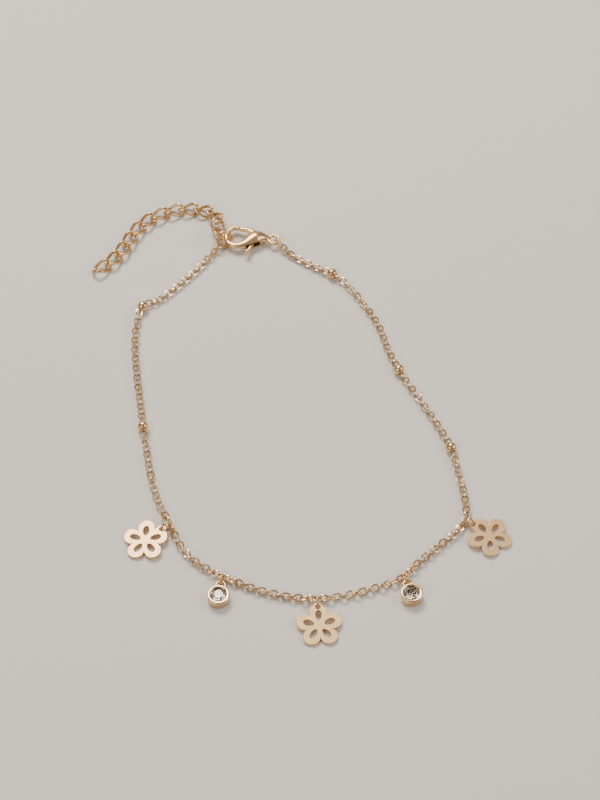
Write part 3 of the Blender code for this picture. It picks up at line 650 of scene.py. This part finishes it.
@dataclass
class Clasp:
    """The lobster clasp: hooked body with its eye, the lever and the pin."""

    place: Vector = field(default_factory=lambda: Vector((-11.5 * MM, 44.02 * MM, 1.4 * MM)))
    flatness: float = 0.8
    body_radius: float = 1.75 * MM
    hook_radius: float = 0.58 * MM
    eye_at: tuple[float, float] = (7.7 * MM, -0.5 * MM)
    eye_diameter: float = 2.9 * MM
    eye_wire: float = 0.7 * MM
    pivot_at: tuple[float, float] = (3.7 * MM, 0.9 * MM)
    pin_diameter: float = 0.5 * MM
    pin_length: float = 1.7 * MM
    pin_gap: float = 0.03 * MM
    pin_round: float = 0.06 * MM
    bore_length: float = 6.0 * MM
    lever_radius: float = 0.58 * MM
    lever_flatness: float = 0.75
    lever_gap: float = 0.14 * MM
    tab_radius: float = 0.62 * MM
    tab_at: tuple[float, float] = (2.12 * MM, -4.05 * MM)
    opening: float = 20.0
    sharp: float = 48.0

    # Body from the hook's tip to the eye: x and y in millimetres, share of the named radius
    hook_path: tuple = (
        (0.22, 2.71, 0.94), (-0.50, 2.91, 1.00), (-1.38, 2.47, 1.00), (-2.05, 1.45, 1.00),
        (-2.28, 0.10, 1.00), (-1.90, -1.25, 1.04), (-0.80, -2.10, 1.24),
    )
    body_path: tuple = (
        (0.75, -2.10, 0.50), (2.05, -1.55, 0.70), (3.00, -0.80, 0.90), (3.90, -0.15, 1.00),
        (4.90, 0.05, 0.84), (5.80, -0.05, 0.56), (6.60, -0.30, 0.32),
    )
    # Lever's gate and thumb tab: x and y in millimetres, share of the lever's radius
    gate_path: tuple = (
        (0.62, 2.56, 0.86), (0.95, 2.45, 1.02), (1.70, 2.36, 1.10), (2.65, 2.00, 1.06),
    )
    tab_path: tuple = ((3.42, -0.60, 0.72), (2.95, -2.30, 0.66), (2.25, -3.80, 0.72))

    def rows(self, path: tuple, radius: float) -> list[tuple[float, float, float]]:
        """Return a path's rows in metres, with the bar's radius at each."""
        return [(x * MM, y * MM, share * radius) for x, y, share in path]

    def bar(self, rows: list[tuple[float, float, float]], sides: int,
            flatness: float) -> bmesh.types.BMesh:
        """Return a smooth swept bar through rows of x, y and radius, in the clasp's plane."""
        dense = smooth_curve([Vector((x, y, radius)) for x, y, radius in rows], 5)
        points = [Vector((spot.x, spot.y, 0.0)) for spot in dense]
        return swept_bar(points, [spot.z for spot in dense], sides, flatness)

    def slot_prism(self, path: tuple) -> bmesh.types.BMesh:
        """Return the room that an arm of the lever sweeps about the pivot, as a prism."""
        width = self.lever_radius + self.lever_gap
        height = self.lever_radius * self.lever_flatness + self.lever_gap
        spots = [Vector((x * MM, y * MM)) - Vector(self.pivot_at) for x, y, _ in path]
        headings = [degrees(atan2(spot.y, spot.x)) % 360.0 for spot in spots]
        start = min(headings)
        end = max(headings) + self.opening
        reach = max(spot.length for spot in spots) + self.lever_gap
        outline = [
            compass((start + end) / 2 + 180.0) * width,
            compass(start - 90.0) * width,
            compass(start) * reach + compass(start - 90.0) * width,
            compass(end) * reach + compass(end + 90.0) * width,
            compass(end + 90.0) * width,
        ]
        shape = bmesh.new()
        pivot = Vector((*self.pivot_at, -height))
        face = shape.faces.new([shape.verts.new(pivot + corner) for corner in outline])
        sweep = bmesh.ops.extrude_face_region(shape, geom=[face])
        raised = made_parts(sweep, bmesh.types.BMVert)
        bmesh.ops.translate(shape, verts=raised, vec=(0.0, 0.0, 2 * height))
        bmesh.ops.recalc_face_normals(shape, faces=shape.faces)
        return shape

    def pin_bar(self, radius: float, length: float, sides: int) -> bmesh.types.BMesh:
        """Return an upright round bar at the pivot."""
        shape = bmesh.new()
        bmesh.ops.create_cone(
            shape, cap_ends=True, segments=sides, radius1=radius, radius2=radius, depth=length,
            matrix=Matrix.Translation((*self.pivot_at, 0.0)),
        )
        return shape

    def bore(self) -> bmesh.types.BMesh:
        """Return the hole that the pin turns in, longer than any piece is high."""
        return self.pin_bar(self.pin_diameter / 2 + self.pin_gap, self.bore_length, 20)

    def eye_contact(self, angle: float) -> tuple[Vector, Vector]:
        """Return the centre of the eye's wire at an angle in degrees, and its direction."""
        out = compass(angle) * ((self.eye_diameter - self.eye_wire) / 2)
        return self.place + Vector((*self.eye_at, 0.0)) + out, compass(angle + 90.0)

    def build_body(self) -> None:
        """Make the hooked body, slotted for the lever, with its eye."""
        rows = self.rows(self.hook_path, self.hook_radius)
        rows += self.rows(self.body_path, self.body_radius)
        body = self.bar(rows, 28, self.flatness)
        eye = spun_ring(self.eye_diameter, self.eye_wire, 40, 16)
        bmesh.ops.translate(eye, verts=eye.verts, vec=(*self.eye_at, 0.0))
        tools = [
            (eye, "UNION"),
            (self.slot_prism(self.gate_path), "DIFFERENCE"),
            (self.slot_prism(self.tab_path), "DIFFERENCE"),
            (self.bore(), "DIFFERENCE"),
        ]
        shape = combined(body, tools)
        bmesh.ops.translate(shape, verts=shape.verts, vec=self.place)
        new_piece("clasp_cast_body", shape, "clasp_gold", "clasp_body", self.sharp)

    def build_lever(self) -> None:
        """Make the lever: gate, pivot boss and thumb tab."""
        rows = self.rows(self.gate_path, self.lever_radius)
        rows.append((*self.pivot_at, self.lever_radius))
        rows += self.rows(self.tab_path, self.lever_radius)
        lever = self.bar(rows, 20, self.lever_flatness)
        tab = bmesh.new()
        bmesh.ops.create_uvsphere(
            tab, u_segments=24, v_segments=14, radius=self.tab_radius,
            matrix=Matrix.Translation((*self.tab_at, 0.0)),
        )
        shape = combined(lever, [(tab, "UNION"), (self.bore(), "DIFFERENCE")])
        bmesh.ops.translate(shape, verts=shape.verts, vec=self.place)
        new_piece("clasp_gate_lever", shape, "lever_gold", "clasp_lever", self.sharp, Rides.LEVER)

    def build_pin(self) -> None:
        """Make the riveted pin, its ends slightly rounded."""
        shape = self.pin_bar(self.pin_diameter / 2, self.pin_length, 24)
        rims = level_edges(shape.edges)
        bmesh.ops.bevel(
            shape, geom=rims, offset=self.pin_round, offset_type="OFFSET", segments=2, profile=0.5,
            affect="EDGES", material=-1,
        )
        bmesh.ops.translate(shape, verts=shape.verts, vec=self.place)
        new_piece("clasp_rivet", shape, "pin_gold", "clasp_pin")

    def build(self) -> None:
        """Make the whole clasp."""
        self.build_body()
        self.build_lever()
        self.build_pin()


@dataclass
class FineChain:
    """The fine cable chain with its satellite beads, carrier links and end links."""

    clasp: Clasp
    big_ring: BigRing
    base: float = 0.75 * MM
    rise_length: float = 2.5 * MM
    carrier_height: float = 0.9 * MM
    bead_diameter: float = 2.2 * MM
    bead_hole: float = 0.9 * MM
    bead_edge: float = 7.0
    bead_lip_drop: float = 0.04 * MM
    bead_lip_depth: float = 0.2 * MM
    bead_lip_width: float = 0.02 * MM
    bead_inset: float = 0.48 * MM
    contact_gap: float = 0.16 * MM
    end_play: float = 0.04 * MM
    floor_gap: float = 0.01 * MM
    wire_hold: float = 0.5
    left_angle: float = 212.0
    right_angle: float = -42.0
    link: Link = field(default_factory=lambda: Link(2.02 * MM, 1.62 * MM, 0.38 * MM))
    carrier: Link = field(default_factory=lambda: Link(1.87 * MM, 1.6 * MM, 0.35 * MM, 0.0, 24, 10))
    end_link: Link = field(default_factory=lambda: Link(2.6 * MM, 2.0 * MM, 0.4 * MM, 0.0, 28, 10))
    longest_pitch: float = 1.24 * MM
    front_lean: float = 37.0
    settle_links: float = 2.5
    roll_jitter: float = 8.0
    seed: int = 11

    def __post_init__(self) -> None:
        """Work out the end links' frames, the route and its stations."""
        held_left = self.big_ring.contact(self.left_angle)
        held_right = self.clasp.eye_contact(self.right_angle)
        self.left_frame = self.hooked(held_left, self.big_ring.wire, 0)
        self.right_frame = self.hooked(held_right, self.clasp.eye_wire, -1)
        start = self.left_frame.translation
        finish = self.right_frame.translation
        points = [Vector((start.x, start.y, self.base))]
        points += [Vector((x * MM, y * MM, self.base)) for _, x, y in CHAIN_ROUTE]
        points.append(Vector((finish.x, finish.y, self.base)))
        self.route = Route(points)
        self.stations = [("link_left", Station.END, 0.0, start.z)]
        for name, x, y in CHAIN_ROUTE:
            if name:
                kind = Station.BEAD if name.startswith("bead") else Station.CHARM
                height = self.bead_diameter / 2 if kind is Station.BEAD else self.carrier_height
                reached = self.route.nearest(Vector((x * MM, y * MM, self.base)))
                self.stations.append((name, kind, reached, height))
        self.stations.append(("link_right", Station.END, self.route.length, finish.z))

    def hooked(self, contact: tuple[Vector, Vector], held_wire: float, row: int) -> Matrix:
        """Return the frame of an end link hooked on a wire and pulled along the chain.

        Args:
            contact: the held wire's centre and its direction.
            held_wire: the held wire's diameter.
            row: which row of the route the link is pulled towards.

        Returns:
            The end link's place.
        """
        anchor, wire = contact
        _, x, y = CHAIN_ROUTE[row]
        pull = (Vector((x * MM, y * MM, self.base)) - anchor).normalized()
        pull = (pull - wire * pull.dot(wire) * self.wire_hold).normalized()
        reach = self.end_link.length / 2 - self.end_link.wire - held_wire / 2 - self.contact_gap
        return frame_matrix(anchor + pull * reach, pull, wire)

    def place(self, distance: float) -> Vector:
        """Return the chain's centre at a length along it, raised near beads, charms and ends."""
        lift = 0.0
        for _, _, reached, height in self.stations:
            rise = height - self.base
            lift = max(lift, rise * exp(-((distance - reached) / self.rise_length) ** 2))
        return self.route.at(distance) + UP * lift

    def reached(self, name: str) -> float:
        """Return the length along the chain of a named station."""
        return next(reached for title, _, reached, _ in self.stations if title == name)

    def rolled(self, distance: float, roll: float, spacing: float) -> Matrix:
        """Return a link's frame: its chord along the chain, its normal rolled from upright."""
        chord = self.place(distance + spacing / 2) - self.place(distance - spacing / 2)
        side = UP.cross(chord).normalized()
        normal = UP * cos(radians(roll)) + side * sin(radians(roll))
        centre = self.place(distance)
        radius = (self.link.width - self.link.wire) / 2
        low = radius * abs(sin(radians(roll))) + self.link.wire / 2
        centre.z = max(centre.z, low + self.floor_gap)
        return frame_matrix(centre, chord, normal)

    def roll_of(self, place: Matrix, distance: float) -> float:
        """Return the roll in degrees of a placed link, as measured from upright."""
        side = UP.cross(self.route.along(distance)).normalized()
        normal = place.to_3x3() @ UP
        return degrees(atan2(normal.dot(side), normal.z))

    def lying_roll(self, distance: float) -> float:
        """Return the roll in degrees of a loose link that leans towards the front."""
        return -self.front_lean * self.route.along(distance).x

    def end_turn(self, name: str, kind: Station, carriers: dict[str, Matrix], parity: int) -> float:
        """Return how far a run's end link is turned from the loose lie, in degrees.

        Args:
            name: the station at the end.
            kind: what the station is.
            carriers: the frames of the links that carry charms.
            parity: 0 or 1, the quarter turns of the end link in its run.

        Returns:
            The turn, between -90 and 90, and 0 at a bead.
        """
        if kind is Station.BEAD:
            return 0.0
        distance = self.reached(name)
        if kind is Station.CHARM:
            roll = self.roll_of(carriers[name], distance)
        else:
            held = self.left_frame if name == "link_left" else self.right_frame
            roll = self.roll_of(held, distance) + 90.0
        turn = roll - self.lying_roll(distance) - 90.0 * parity
        return (turn + 90.0) % 180.0 - 90.0

    def run_links(self, start: tuple, end: tuple, carriers: dict[str, Matrix],
                  chance: random.Random) -> list[Matrix]:
        """Return the frames of the links between two stations.

        Args:
            start: the station where the run starts.
            end: the station where it ends.
            carriers: the frames of the links that carry charms.
            chance: the seeded source of small differences.

        Returns:
            The links' frames, in order.
        """
        inset = {
            Station.BEAD: self.bead_diameter / 2 + self.bead_inset,
            Station.CHARM: 0.0,
            Station.END: self.end_link.length / 2 - self.end_link.wire
            + self.link.length / 2 - self.link.wire - self.end_play,
        }
        first = start[2] + inset[start[1]]
        last = end[2] - inset[end[1]]
        count = ceil((last - first) / self.longest_pitch)
        turns = {}
        for parity in (0, 1):
            turns[parity] = self.end_turn(start[0], start[1], carriers, parity)
        first_parity = min(turns, key=lambda parity: abs(turns[parity]))
        ends = {}
        for extra in (0, 1):
            parity = (first_parity + count + extra) % 2
            ends[extra] = self.end_turn(end[0], end[1], carriers, parity)
        extra = min(ends, key=lambda more: abs(ends[more]) + more)
        count += extra
        spacing = (last - first) / count
        places = []
        for index in range(count + 1):
            if index == 0 and start[1] is Station.CHARM:
                continue
            if index == count and end[1] is Station.CHARM:
                continue
            distance = first + spacing * index
            roll = self.lying_roll(distance) + 90.0 * (first_parity + index)
            roll += turns[first_parity] * exp(-((index / self.settle_links) ** 2))
            roll += ends[extra] * exp(-(((count - index) / self.settle_links) ** 2))
            roll += chance.uniform(-self.roll_jitter, self.roll_jitter)
            places.append(self.rolled(distance, roll, spacing))
        return places

    def carriers(self, rings: "CharmRings") -> dict[str, Matrix]:
        """Return the frames of the links that the charm rings pass through."""
        lean = rings.lean(self.carrier_height)
        found = {}
        for name, heading in rings.headings.items():
            reached = self.reached(name)
            normal = UP * cos(lean) - compass(heading) * sin(lean)
            found[name] = frame_matrix(self.place(reached), self.route.along(reached), normal)
        return found

    def bead_profile(self) -> list[tuple[float, float]]:
        """Return a drilled bead's section, its hole's rims rounded inwards."""
        radius = self.bead_diameter / 2
        hole = self.bead_hole / 2
        rim = degrees(asin(hole / radius))
        edge = 90.0 - rim - self.bead_edge
        lip = radius * cos(radians(rim)) - self.bead_lip_drop
        return [
            (hole, lip - self.bead_lip_depth), (hole + self.bead_lip_width, lip),
            *arc_points((0.0, 0.0), radius, edge, -edge, 18),
            (hole + self.bead_lip_width, -lip), (hole, -lip + self.bead_lip_depth),
        ]

    def build_beads(self) -> None:
        """Make the drilled satellite beads."""
        for name, kind, reached, height in self.stations:
            if kind is not Station.BEAD:
                continue
            shape = turned(self.bead_profile(), 36)
            spot = self.route.at(reached)
            turn = UP.rotation_difference(self.route.along(reached)).to_matrix().to_4x4()
            place = Matrix.Translation((spot.x, spot.y, height)) @ turn
            bmesh.ops.transform(shape, matrix=place, verts=shape.verts)
            new_piece(f"satellite_{name}", shape, "bead_gold", name)

    def build(self, rings: "CharmRings") -> None:
        """Make the links of every run, the rings' carrier links, the end links and the beads."""
        chance = random.Random(self.seed)
        carriers = self.carriers(rings)
        template = self.link.mesh("fine_link")
        for start, end in zip(self.stations, self.stations[1:]):
            shape = joined(template, self.run_links(start, end, carriers, chance))
            run = f"{start[0]}_to_{end[0]}"
            new_piece(f"links_{run}", shape, "chain_gold", f"chain_{run}")
        carrier_mesh = self.carrier.mesh("carrier_link")
        for name, place in carriers.items():
            shape = joined(carrier_mesh, [place])
            new_piece(f"carrier_{name}", shape, "link_gold", f"carrier_link_{name}")
        end_mesh = self.end_link.mesh("end_link")
        for side, place in (("left", self.left_frame), ("right", self.right_frame)):
            shape = joined(end_mesh, [place])
            new_piece(f"chain_end_{side}", shape, "link_gold", f"end_link_{side}")
        self.build_beads()


@dataclass
class CharmRings:
    """The small upright rings that carry the charms."""

    diameter: float = 2.5 * MM
    wire: float = 0.4 * MM
    cut: float = 3.0
    cut_at: float = -50.0
    headings: dict[str, float] = field(default_factory=dict)

    def drop(self, height: float) -> float:
        """Return how far below the ring's middle a height lies."""
        return self.diameter / 2 - height

    def reach(self, height: float) -> float:
        """Return how far level from the ring's middle its wire passes at a height."""
        radius = (self.diameter - self.wire) / 2
        return sqrt(radius ** 2 - self.drop(height) ** 2)

    def lean(self, height: float) -> float:
        """Return the wire's lean in radians at a height."""
        return asin(self.drop(height) / ((self.diameter - self.wire) / 2))

    def middle(self, chain: FineChain, name: str) -> Vector:
        """Return the middle of a station's ring."""
        spot = chain.place(chain.reached(name))
        out = compass(self.headings[name])
        return Vector((spot.x, spot.y, self.diameter / 2)) + out * self.reach(chain.carrier_height)

    def build(self, chain: FineChain) -> None:
        """Make each ring, with its cut high on the charm's side."""
        for name, heading in self.headings.items():
            shape = spun_ring(self.diameter, self.wire, 44, 12, self.cut)
            middle = self.middle(chain, name)
            place = frame_matrix(middle, compass(heading), compass(heading + 90.0))
            place = place @ Matrix.Rotation(radians(self.cut_at), 4, "Z")
            bmesh.ops.transform(shape, matrix=place, verts=shape.verts)
            new_piece(f"jump_ring_{name}", shape, "ring_gold", f"charm_ring_{name}")


@dataclass
class Flower:
    """A pierced five-petal plate, hung by its eye and lying on its far petals."""

    radius: float = 4.25 * MM
    thickness: float = 0.6 * MM
    petals: int = 5
    petal_radius: float = 1.6 * MM
    core_radius: float = 2.2 * MM
    slit_length: float = 2.0 * MM
    slit_width: float = 1.12 * MM
    slit_centre: float = 2.02 * MM
    slit_taper: float = 0.14
    eye_radius: float = 3.7 * MM
    eye_hole: float = 0.9 * MM
    eye_wall: float = 0.45 * MM
    eye_height: float = 1.0 * MM
    eye_play: float = 0.04 * MM
    outline_steps: int = 180
    slit_steps: int = 32
    hole_steps: int = 28
    reach_steps: int = 90
    edge_round: float = 0.07 * MM

    def reach(self, angle: float, turn: float) -> float:
        """Return the outline's radius at an angle from the eye, over its discs."""
        eye = (self.eye_radius, 0.0, self.eye_hole / 2 + self.eye_wall)
        discs = [(0.0, 0.0, self.core_radius), eye]
        for index in range(self.petals):
            heading = radians(turn) + tau * index / self.petals
            discs.append((self.radius - self.petal_radius, heading, self.petal_radius))
        best = 0.0
        for distance, heading, radius in discs:
            across = distance * sin(angle - heading)
            if abs(across) < radius and (cos(angle - heading) > 0 or distance == 0.0):
                best = max(best, distance * cos(angle - heading) + sqrt(radius ** 2 - across ** 2))
        return best

    def loops(self, turn: float) -> list[list[Vector]]:
        """Return the plate's outline, its petal openings and the ring's hole."""
        outline = []
        for index in range(self.outline_steps):
            angle = radians(turn) + tau * index / self.outline_steps
            outline.append(spoke(angle) * self.reach(angle, turn))
        found = [outline]
        for petal in range(self.petals):
            heading = Matrix.Rotation(radians(turn) + tau * petal / self.petals, 3, "Z")
            slit = []
            for index in range(self.slit_steps):
                angle = tau * index / self.slit_steps
                along = self.slit_centre + self.slit_length / 2 * cos(angle)
                across = self.slit_width / 2 * sin(angle) * (1 + self.slit_taper * cos(angle))
                slit.append(heading @ Vector((along, across, 0.0)))
            found.append(slit)
        hole = []
        for index in range(self.hole_steps):
            out = spoke(tau * index / self.hole_steps) * (self.eye_hole / 2)
            hole.append(Vector((self.eye_radius, 0.0, 0.0)) + out)
        found.append(hole)
        return found

    def plate(self, turn: float) -> bmesh.types.BMesh:
        """Return the pierced plate, its edges rounded, about its mid-plane."""
        shape = bmesh.new()
        rim = []
        for loop in self.loops(turn):
            corners = [shape.verts.new(point) for point in loop]
            for start, end in zip(corners, corners[1:] + corners[:1]):
                rim.append(shape.edges.new((start, end)))
        bmesh.ops.triangle_fill(shape, use_beauty=True, use_dissolve=False, edges=rim)
        bmesh.ops.translate(shape, verts=shape.verts, vec=(0.0, 0.0, -self.thickness / 2))
        sweep = bmesh.ops.extrude_face_region(shape, geom=shape.faces[:])
        raised = made_parts(sweep, bmesh.types.BMVert)
        bmesh.ops.translate(shape, verts=raised, vec=(0.0, 0.0, self.thickness))
        bmesh.ops.recalc_face_normals(shape, faces=shape.faces)
        sharp = [edge for edge in shape.edges if edge.calc_face_angle(0.0) > radians(70.0)]
        bmesh.ops.bevel(
            shape, geom=level_edges(sharp), offset=self.edge_round, offset_type="OFFSET",
            segments=3, profile=0.5, affect="EDGES", material=-1, clamp_overlap=True,
        )
        return shape

    def build(self, name: str, turn: float, rings: CharmRings, chain: FineChain) -> None:
        """Make one flower on its ring.

        Args:
            name: its station.
            turn: the petals' turn from the eye, in degrees.
            rings: the charm rings.
            chain: the chain, which places the ring.
        """
        out = compass(rings.headings[name])
        eye = rings.middle(chain, name) + out * (rings.reach(self.eye_height) - self.eye_play)
        angles = [tau * index / self.reach_steps for index in range(self.reach_steps)]
        far = min(self.reach(angle, turn) * cos(angle) for angle in angles)
        tilt = asin((self.eye_height - self.thickness / 2) / (self.eye_radius - far))
        along = -out * cos(tilt) + UP * sin(tilt)
        normal = UP * cos(tilt) + out * sin(tilt)
        centre = Vector((eye.x, eye.y, self.eye_height)) - along * self.eye_radius
        shape = self.plate(turn)
        bmesh.ops.transform(shape, matrix=frame_matrix(centre, along, normal), verts=shape.verts)
        piece = new_piece(f"{name}_plate", shape, "flower_gold", name, 60.0)
        # Both flat faces stay flat-shaded, only the rounded edges and the walls are smooth
        for face in piece.data.polygons:
            face.use_smooth = abs(face.normal.dot(normal)) < 0.999


@dataclass
class SetStone:
    """A round brilliant in a spun bezel cup with a soldered eye."""

    diameter: float = 4.1 * MM
    height: float = 1.85 * MM
    floor: float = 0.25 * MM
    lip: float = 0.6 * MM
    eye_diameter: float = 2.2 * MM
    eye_wire: float = 0.5 * MM
    eye_standoff: float = 0.35 * MM
    eye_height: float = 0.88 * MM
    stone_diameter: float = 3.0 * MM
    table: float = 1.7 * MM
    crown: float = 0.45 * MM
    girdle: float = 0.06 * MM
    pavilion: float = 1.05 * MM
    seat_gap: float = 0.12 * MM
    side_gap: float = 0.12 * MM
    culet_gap: float = 0.05 * MM
    girdle_gap: float = 0.04 * MM
    seat_share: float = 0.83
    seat_depth: float = 0.32 * MM
    lip_flat: float = 0.06 * MM
    lip_drop: float = 0.05 * MM
    rim_round: float = 0.2 * MM
    base_round: float = 0.1 * MM
    eye_outset: float = 0.11 * MM
    # Corners of the star and pavilion facets, as shares of radius, crown and pavilion
    star: tuple[float, float] = (0.80, 0.56)
    culet_facets: tuple[float, float] = (0.24, 0.80)

    def girdle_height(self) -> float:
        """Return the height of the stone's girdle over the cup's base."""
        return self.floor + self.seat_gap + self.pavilion + self.culet_gap

    def cup(self) -> bmesh.types.BMesh:
        """Return the spun cup with its lip folded over the stone's edge."""
        outer = self.diameter / 2
        bore = self.stone_diameter / 2 + self.side_gap
        seat = self.stone_diameter / 2 * self.seat_share
        girdle = self.girdle_height()
        rim, base = self.rim_round, self.base_round
        profile = [
            (0.0, self.floor), (seat, self.floor), (seat, girdle - self.seat_depth),
            (bore, girdle - self.seat_gap), (bore, girdle + self.girdle + self.girdle_gap),
            (outer - self.lip, self.height - self.lip_drop),
            (outer - self.lip + self.lip_flat, self.height),
            *arc_points((outer - rim, self.height - rim), rim, 90.0, 0.0, 5),
            *arc_points((outer - base, base), base, 0.0, -90.0, 3),
            (0.0, 0.0),
        ]
        return turned(profile, 64)

    def brilliant(self) -> bmesh.types.BMesh:
        """Return the cut stone: table, crown, girdle and pavilion facets."""
        shape = bmesh.new()
        radius = self.stone_diameter / 2
        low = self.girdle_height()
        high = low + self.girdle
        for index in range(8):
            out = spoke(tau * (index + 0.5) / 8)
            between = Matrix.Rotation(tau / 16, 3, "Z") @ out
            shape.verts.new(out * (self.table / 2) + UP * (high + self.crown))
            star, rise = self.star
            shape.verts.new(between * (radius * star) + UP * (high + self.crown * rise))
            share, fall = self.culet_facets
            shape.verts.new(out * (radius * share) + UP * (low - self.pavilion * fall))
        for index in range(16):
            out = spoke(tau * index / 16)
            shape.verts.new(out * radius + UP * low)
            shape.verts.new(out * radius + UP * high)
        shape.verts.new(UP * (low - self.pavilion))
        bmesh.ops.convex_hull(shape, input=shape.verts)
        bmesh.ops.dissolve_limit(
            shape, angle_limit=radians(2.0), verts=shape.verts, edges=shape.edges
        )
        bmesh.ops.recalc_face_normals(shape, faces=shape.faces)
        return shape

    def build(self, name: str, rings: CharmRings, chain: FineChain) -> None:
        """Make one set stone on its ring.

        Args:
            name: its station.
            rings: the charm rings.
            chain: the chain, which places the ring.
        """
        out = compass(rings.headings[name])
        standoff = self.diameter / 2 + self.eye_standoff
        reach = rings.reach(self.eye_height) + self.eye_outset + standoff
        centre = rings.middle(chain, name) + out * reach
        place = frame_matrix(Vector((centre.x, centre.y, 0.0)), -out, UP)
        eye = spun_ring(self.eye_diameter, self.eye_wire, 40, 14)
        bmesh.ops.translate(eye, verts=eye.verts, vec=(standoff, 0.0, self.eye_height))
        shape = combined(self.cup(), [(eye, "UNION")])
        bmesh.ops.transform(shape, matrix=place, verts=shape.verts)
        new_piece(f"{name}_bezel", shape, "bezel_gold", f"bezel_{name}", 50.0)
        stone = self.brilliant()
        bmesh.ops.transform(stone, matrix=place, verts=stone.verts)
        new_piece(f"{name}_brilliant", stone, "crystal", f"brilliant_{name}", 1.0)


@dataclass
class Extender:
    """The curb extender chain, its first link upright on the big ring."""

    big_ring: BigRing
    count: int = 13
    pitch: float = 3.2 * MM
    angle: float = 125.0
    first_turn: float = 75.0
    contact_gap: float = 0.16 * MM
    length: float = 4.7 * MM
    width: float = 3.15 * MM
    wire: float = 0.63 * MM
    twist: float = 0.62 * MM

    def build(self) -> None:
        """Make the links along the extender's route, the first of them flat."""
        anchor, _ = self.big_ring.contact(self.angle)
        route = Route([anchor] + [Vector((x * MM, y * MM, z * MM)) for x, y, z in EXTENDER_ROUTE])
        reach = self.length / 2 - self.wire - self.big_ring.wire / 2 - self.contact_gap
        plain = Link(self.length, self.width, self.wire, 0.0, 36, 12).mesh("plain_link")
        curb = Link(self.length, self.width, self.wire, self.twist, 36, 12).mesh("curb_link")
        for index in range(self.count):
            distance = reach + index * self.pitch
            chord = route.at(distance + self.pitch / 2) - route.at(distance - self.pitch / 2)
            link, normal = (plain, compass(self.first_turn)) if index == 0 else (curb, UP)
            shape = joined(link, [frame_matrix(route.at(distance), chord, normal)])
            node = f"extender_link_{index + 1:02d}"
            new_piece(f"curb_{node}", shape, "extender_gold", node)


@dataclass
class Studio:
    """Plain pale floor, soft lights and the camera at the photograph's angle."""

    target: Vector = field(default_factory=lambda: Vector((1.75 * MM, 1.925 * MM, 0.0)))
    distance: float = 376.8 * MM
    elevation: float = 52.5
    lens: float = 85.5
    nearest: float = 0.01
    floor_size: float = 3.0
    surround: str = "D8D4CE"
    surround_strength: float = 0.42

    def build_floor(self) -> None:
        """Make the floor."""
        shape = bmesh.new()
        bmesh.ops.create_grid(shape, x_segments=1, y_segments=1, size=self.floor_size / 2)
        mesh = mesh_of("floor", shape)
        mesh.materials.append(material_of(PaperFloor()))
        in_scene("floor", mesh)

    def add_light(self, name: str, place: tuple[float, float, float], size: tuple[float, float],
                  power: float, colour: str) -> None:
        """Add a soft rectangular light that faces the anklet.

        Args:
            name: the light's name.
            place: its place in metres.
            size: its width and height in metres.
            power: its power in watts.
            colour: its colour as sRGB hex.
        """
        data = bpy.data.lights.new(name, "AREA")
        data.shape = "RECTANGLE"
        data.size, data.size_y = size
        data.energy = power
        data.color = linear_colour(colour)[:3]
        light = in_scene(name, data)
        light.location = place
        light.rotation_euler = (-Vector(place)).to_track_quat("-Z", "Y").to_euler()

    def build_camera(self) -> None:
        """Place the camera where the photograph was taken from."""
        data = bpy.data.cameras.new("camera")
        data.lens = self.lens
        data.clip_start = self.nearest
        camera = in_scene("camera", data)
        back = Vector((0.0, -cos(radians(self.elevation)), sin(radians(self.elevation))))
        camera.location = self.target + back * self.distance
        camera.rotation_euler = (radians(90.0 - self.elevation), 0.0, 0.0)
        bpy.context.scene.camera = camera

    def build_world(self) -> None:
        """Set a dim even surround, so that the gold shows dark and bright bands."""
        world = bpy.data.worlds.new("studio")
        world.use_nodes = True
        background = world.node_tree.nodes["Background"]
        background.inputs["Color"].default_value = linear_colour(self.surround)
        background.inputs["Strength"].default_value = self.surround_strength
        bpy.context.scene.world = world

    def build(self) -> None:
        """Make the floor, camera, surround and lights."""
        self.build_floor()
        self.build_camera()
        self.build_world()
        self.add_light("key", (-0.16, 0.44, 0.60), (0.42, 0.30), 6.0, "FFF6EA")
        self.add_light("fill", (0.60, -0.05, 0.45), (0.4, 0.4), 2.0, "FFF9F2")
        self.add_light("front", (-0.45, -0.45, 0.50), (0.5, 0.25), 1.6, "FFFAF4")


def main() -> None:
    """Build the dressed anklet and its studio."""
    logging.basicConfig(level=logging.INFO, format="%(name)s %(message)s")
    Studio().build()
    clasp = Clasp()
    big_ring = BigRing()
    rings = CharmRings(headings={name: heading for name, heading, *_ in FLOWERS + STONES})
    chain = FineChain(clasp, big_ring)
    chain.build(rings)
    rings.build(chain)
    flower = Flower()
    for name, _, turn in FLOWERS:
        flower.build(name, turn, rings, chain)
    stone = SetStone()
    for name, _ in STONES:
        stone.build(name, rings, chain)
    clasp.build()
    big_ring.build()
    Extender(big_ring).build()


if __name__ == "__main__":
    main()
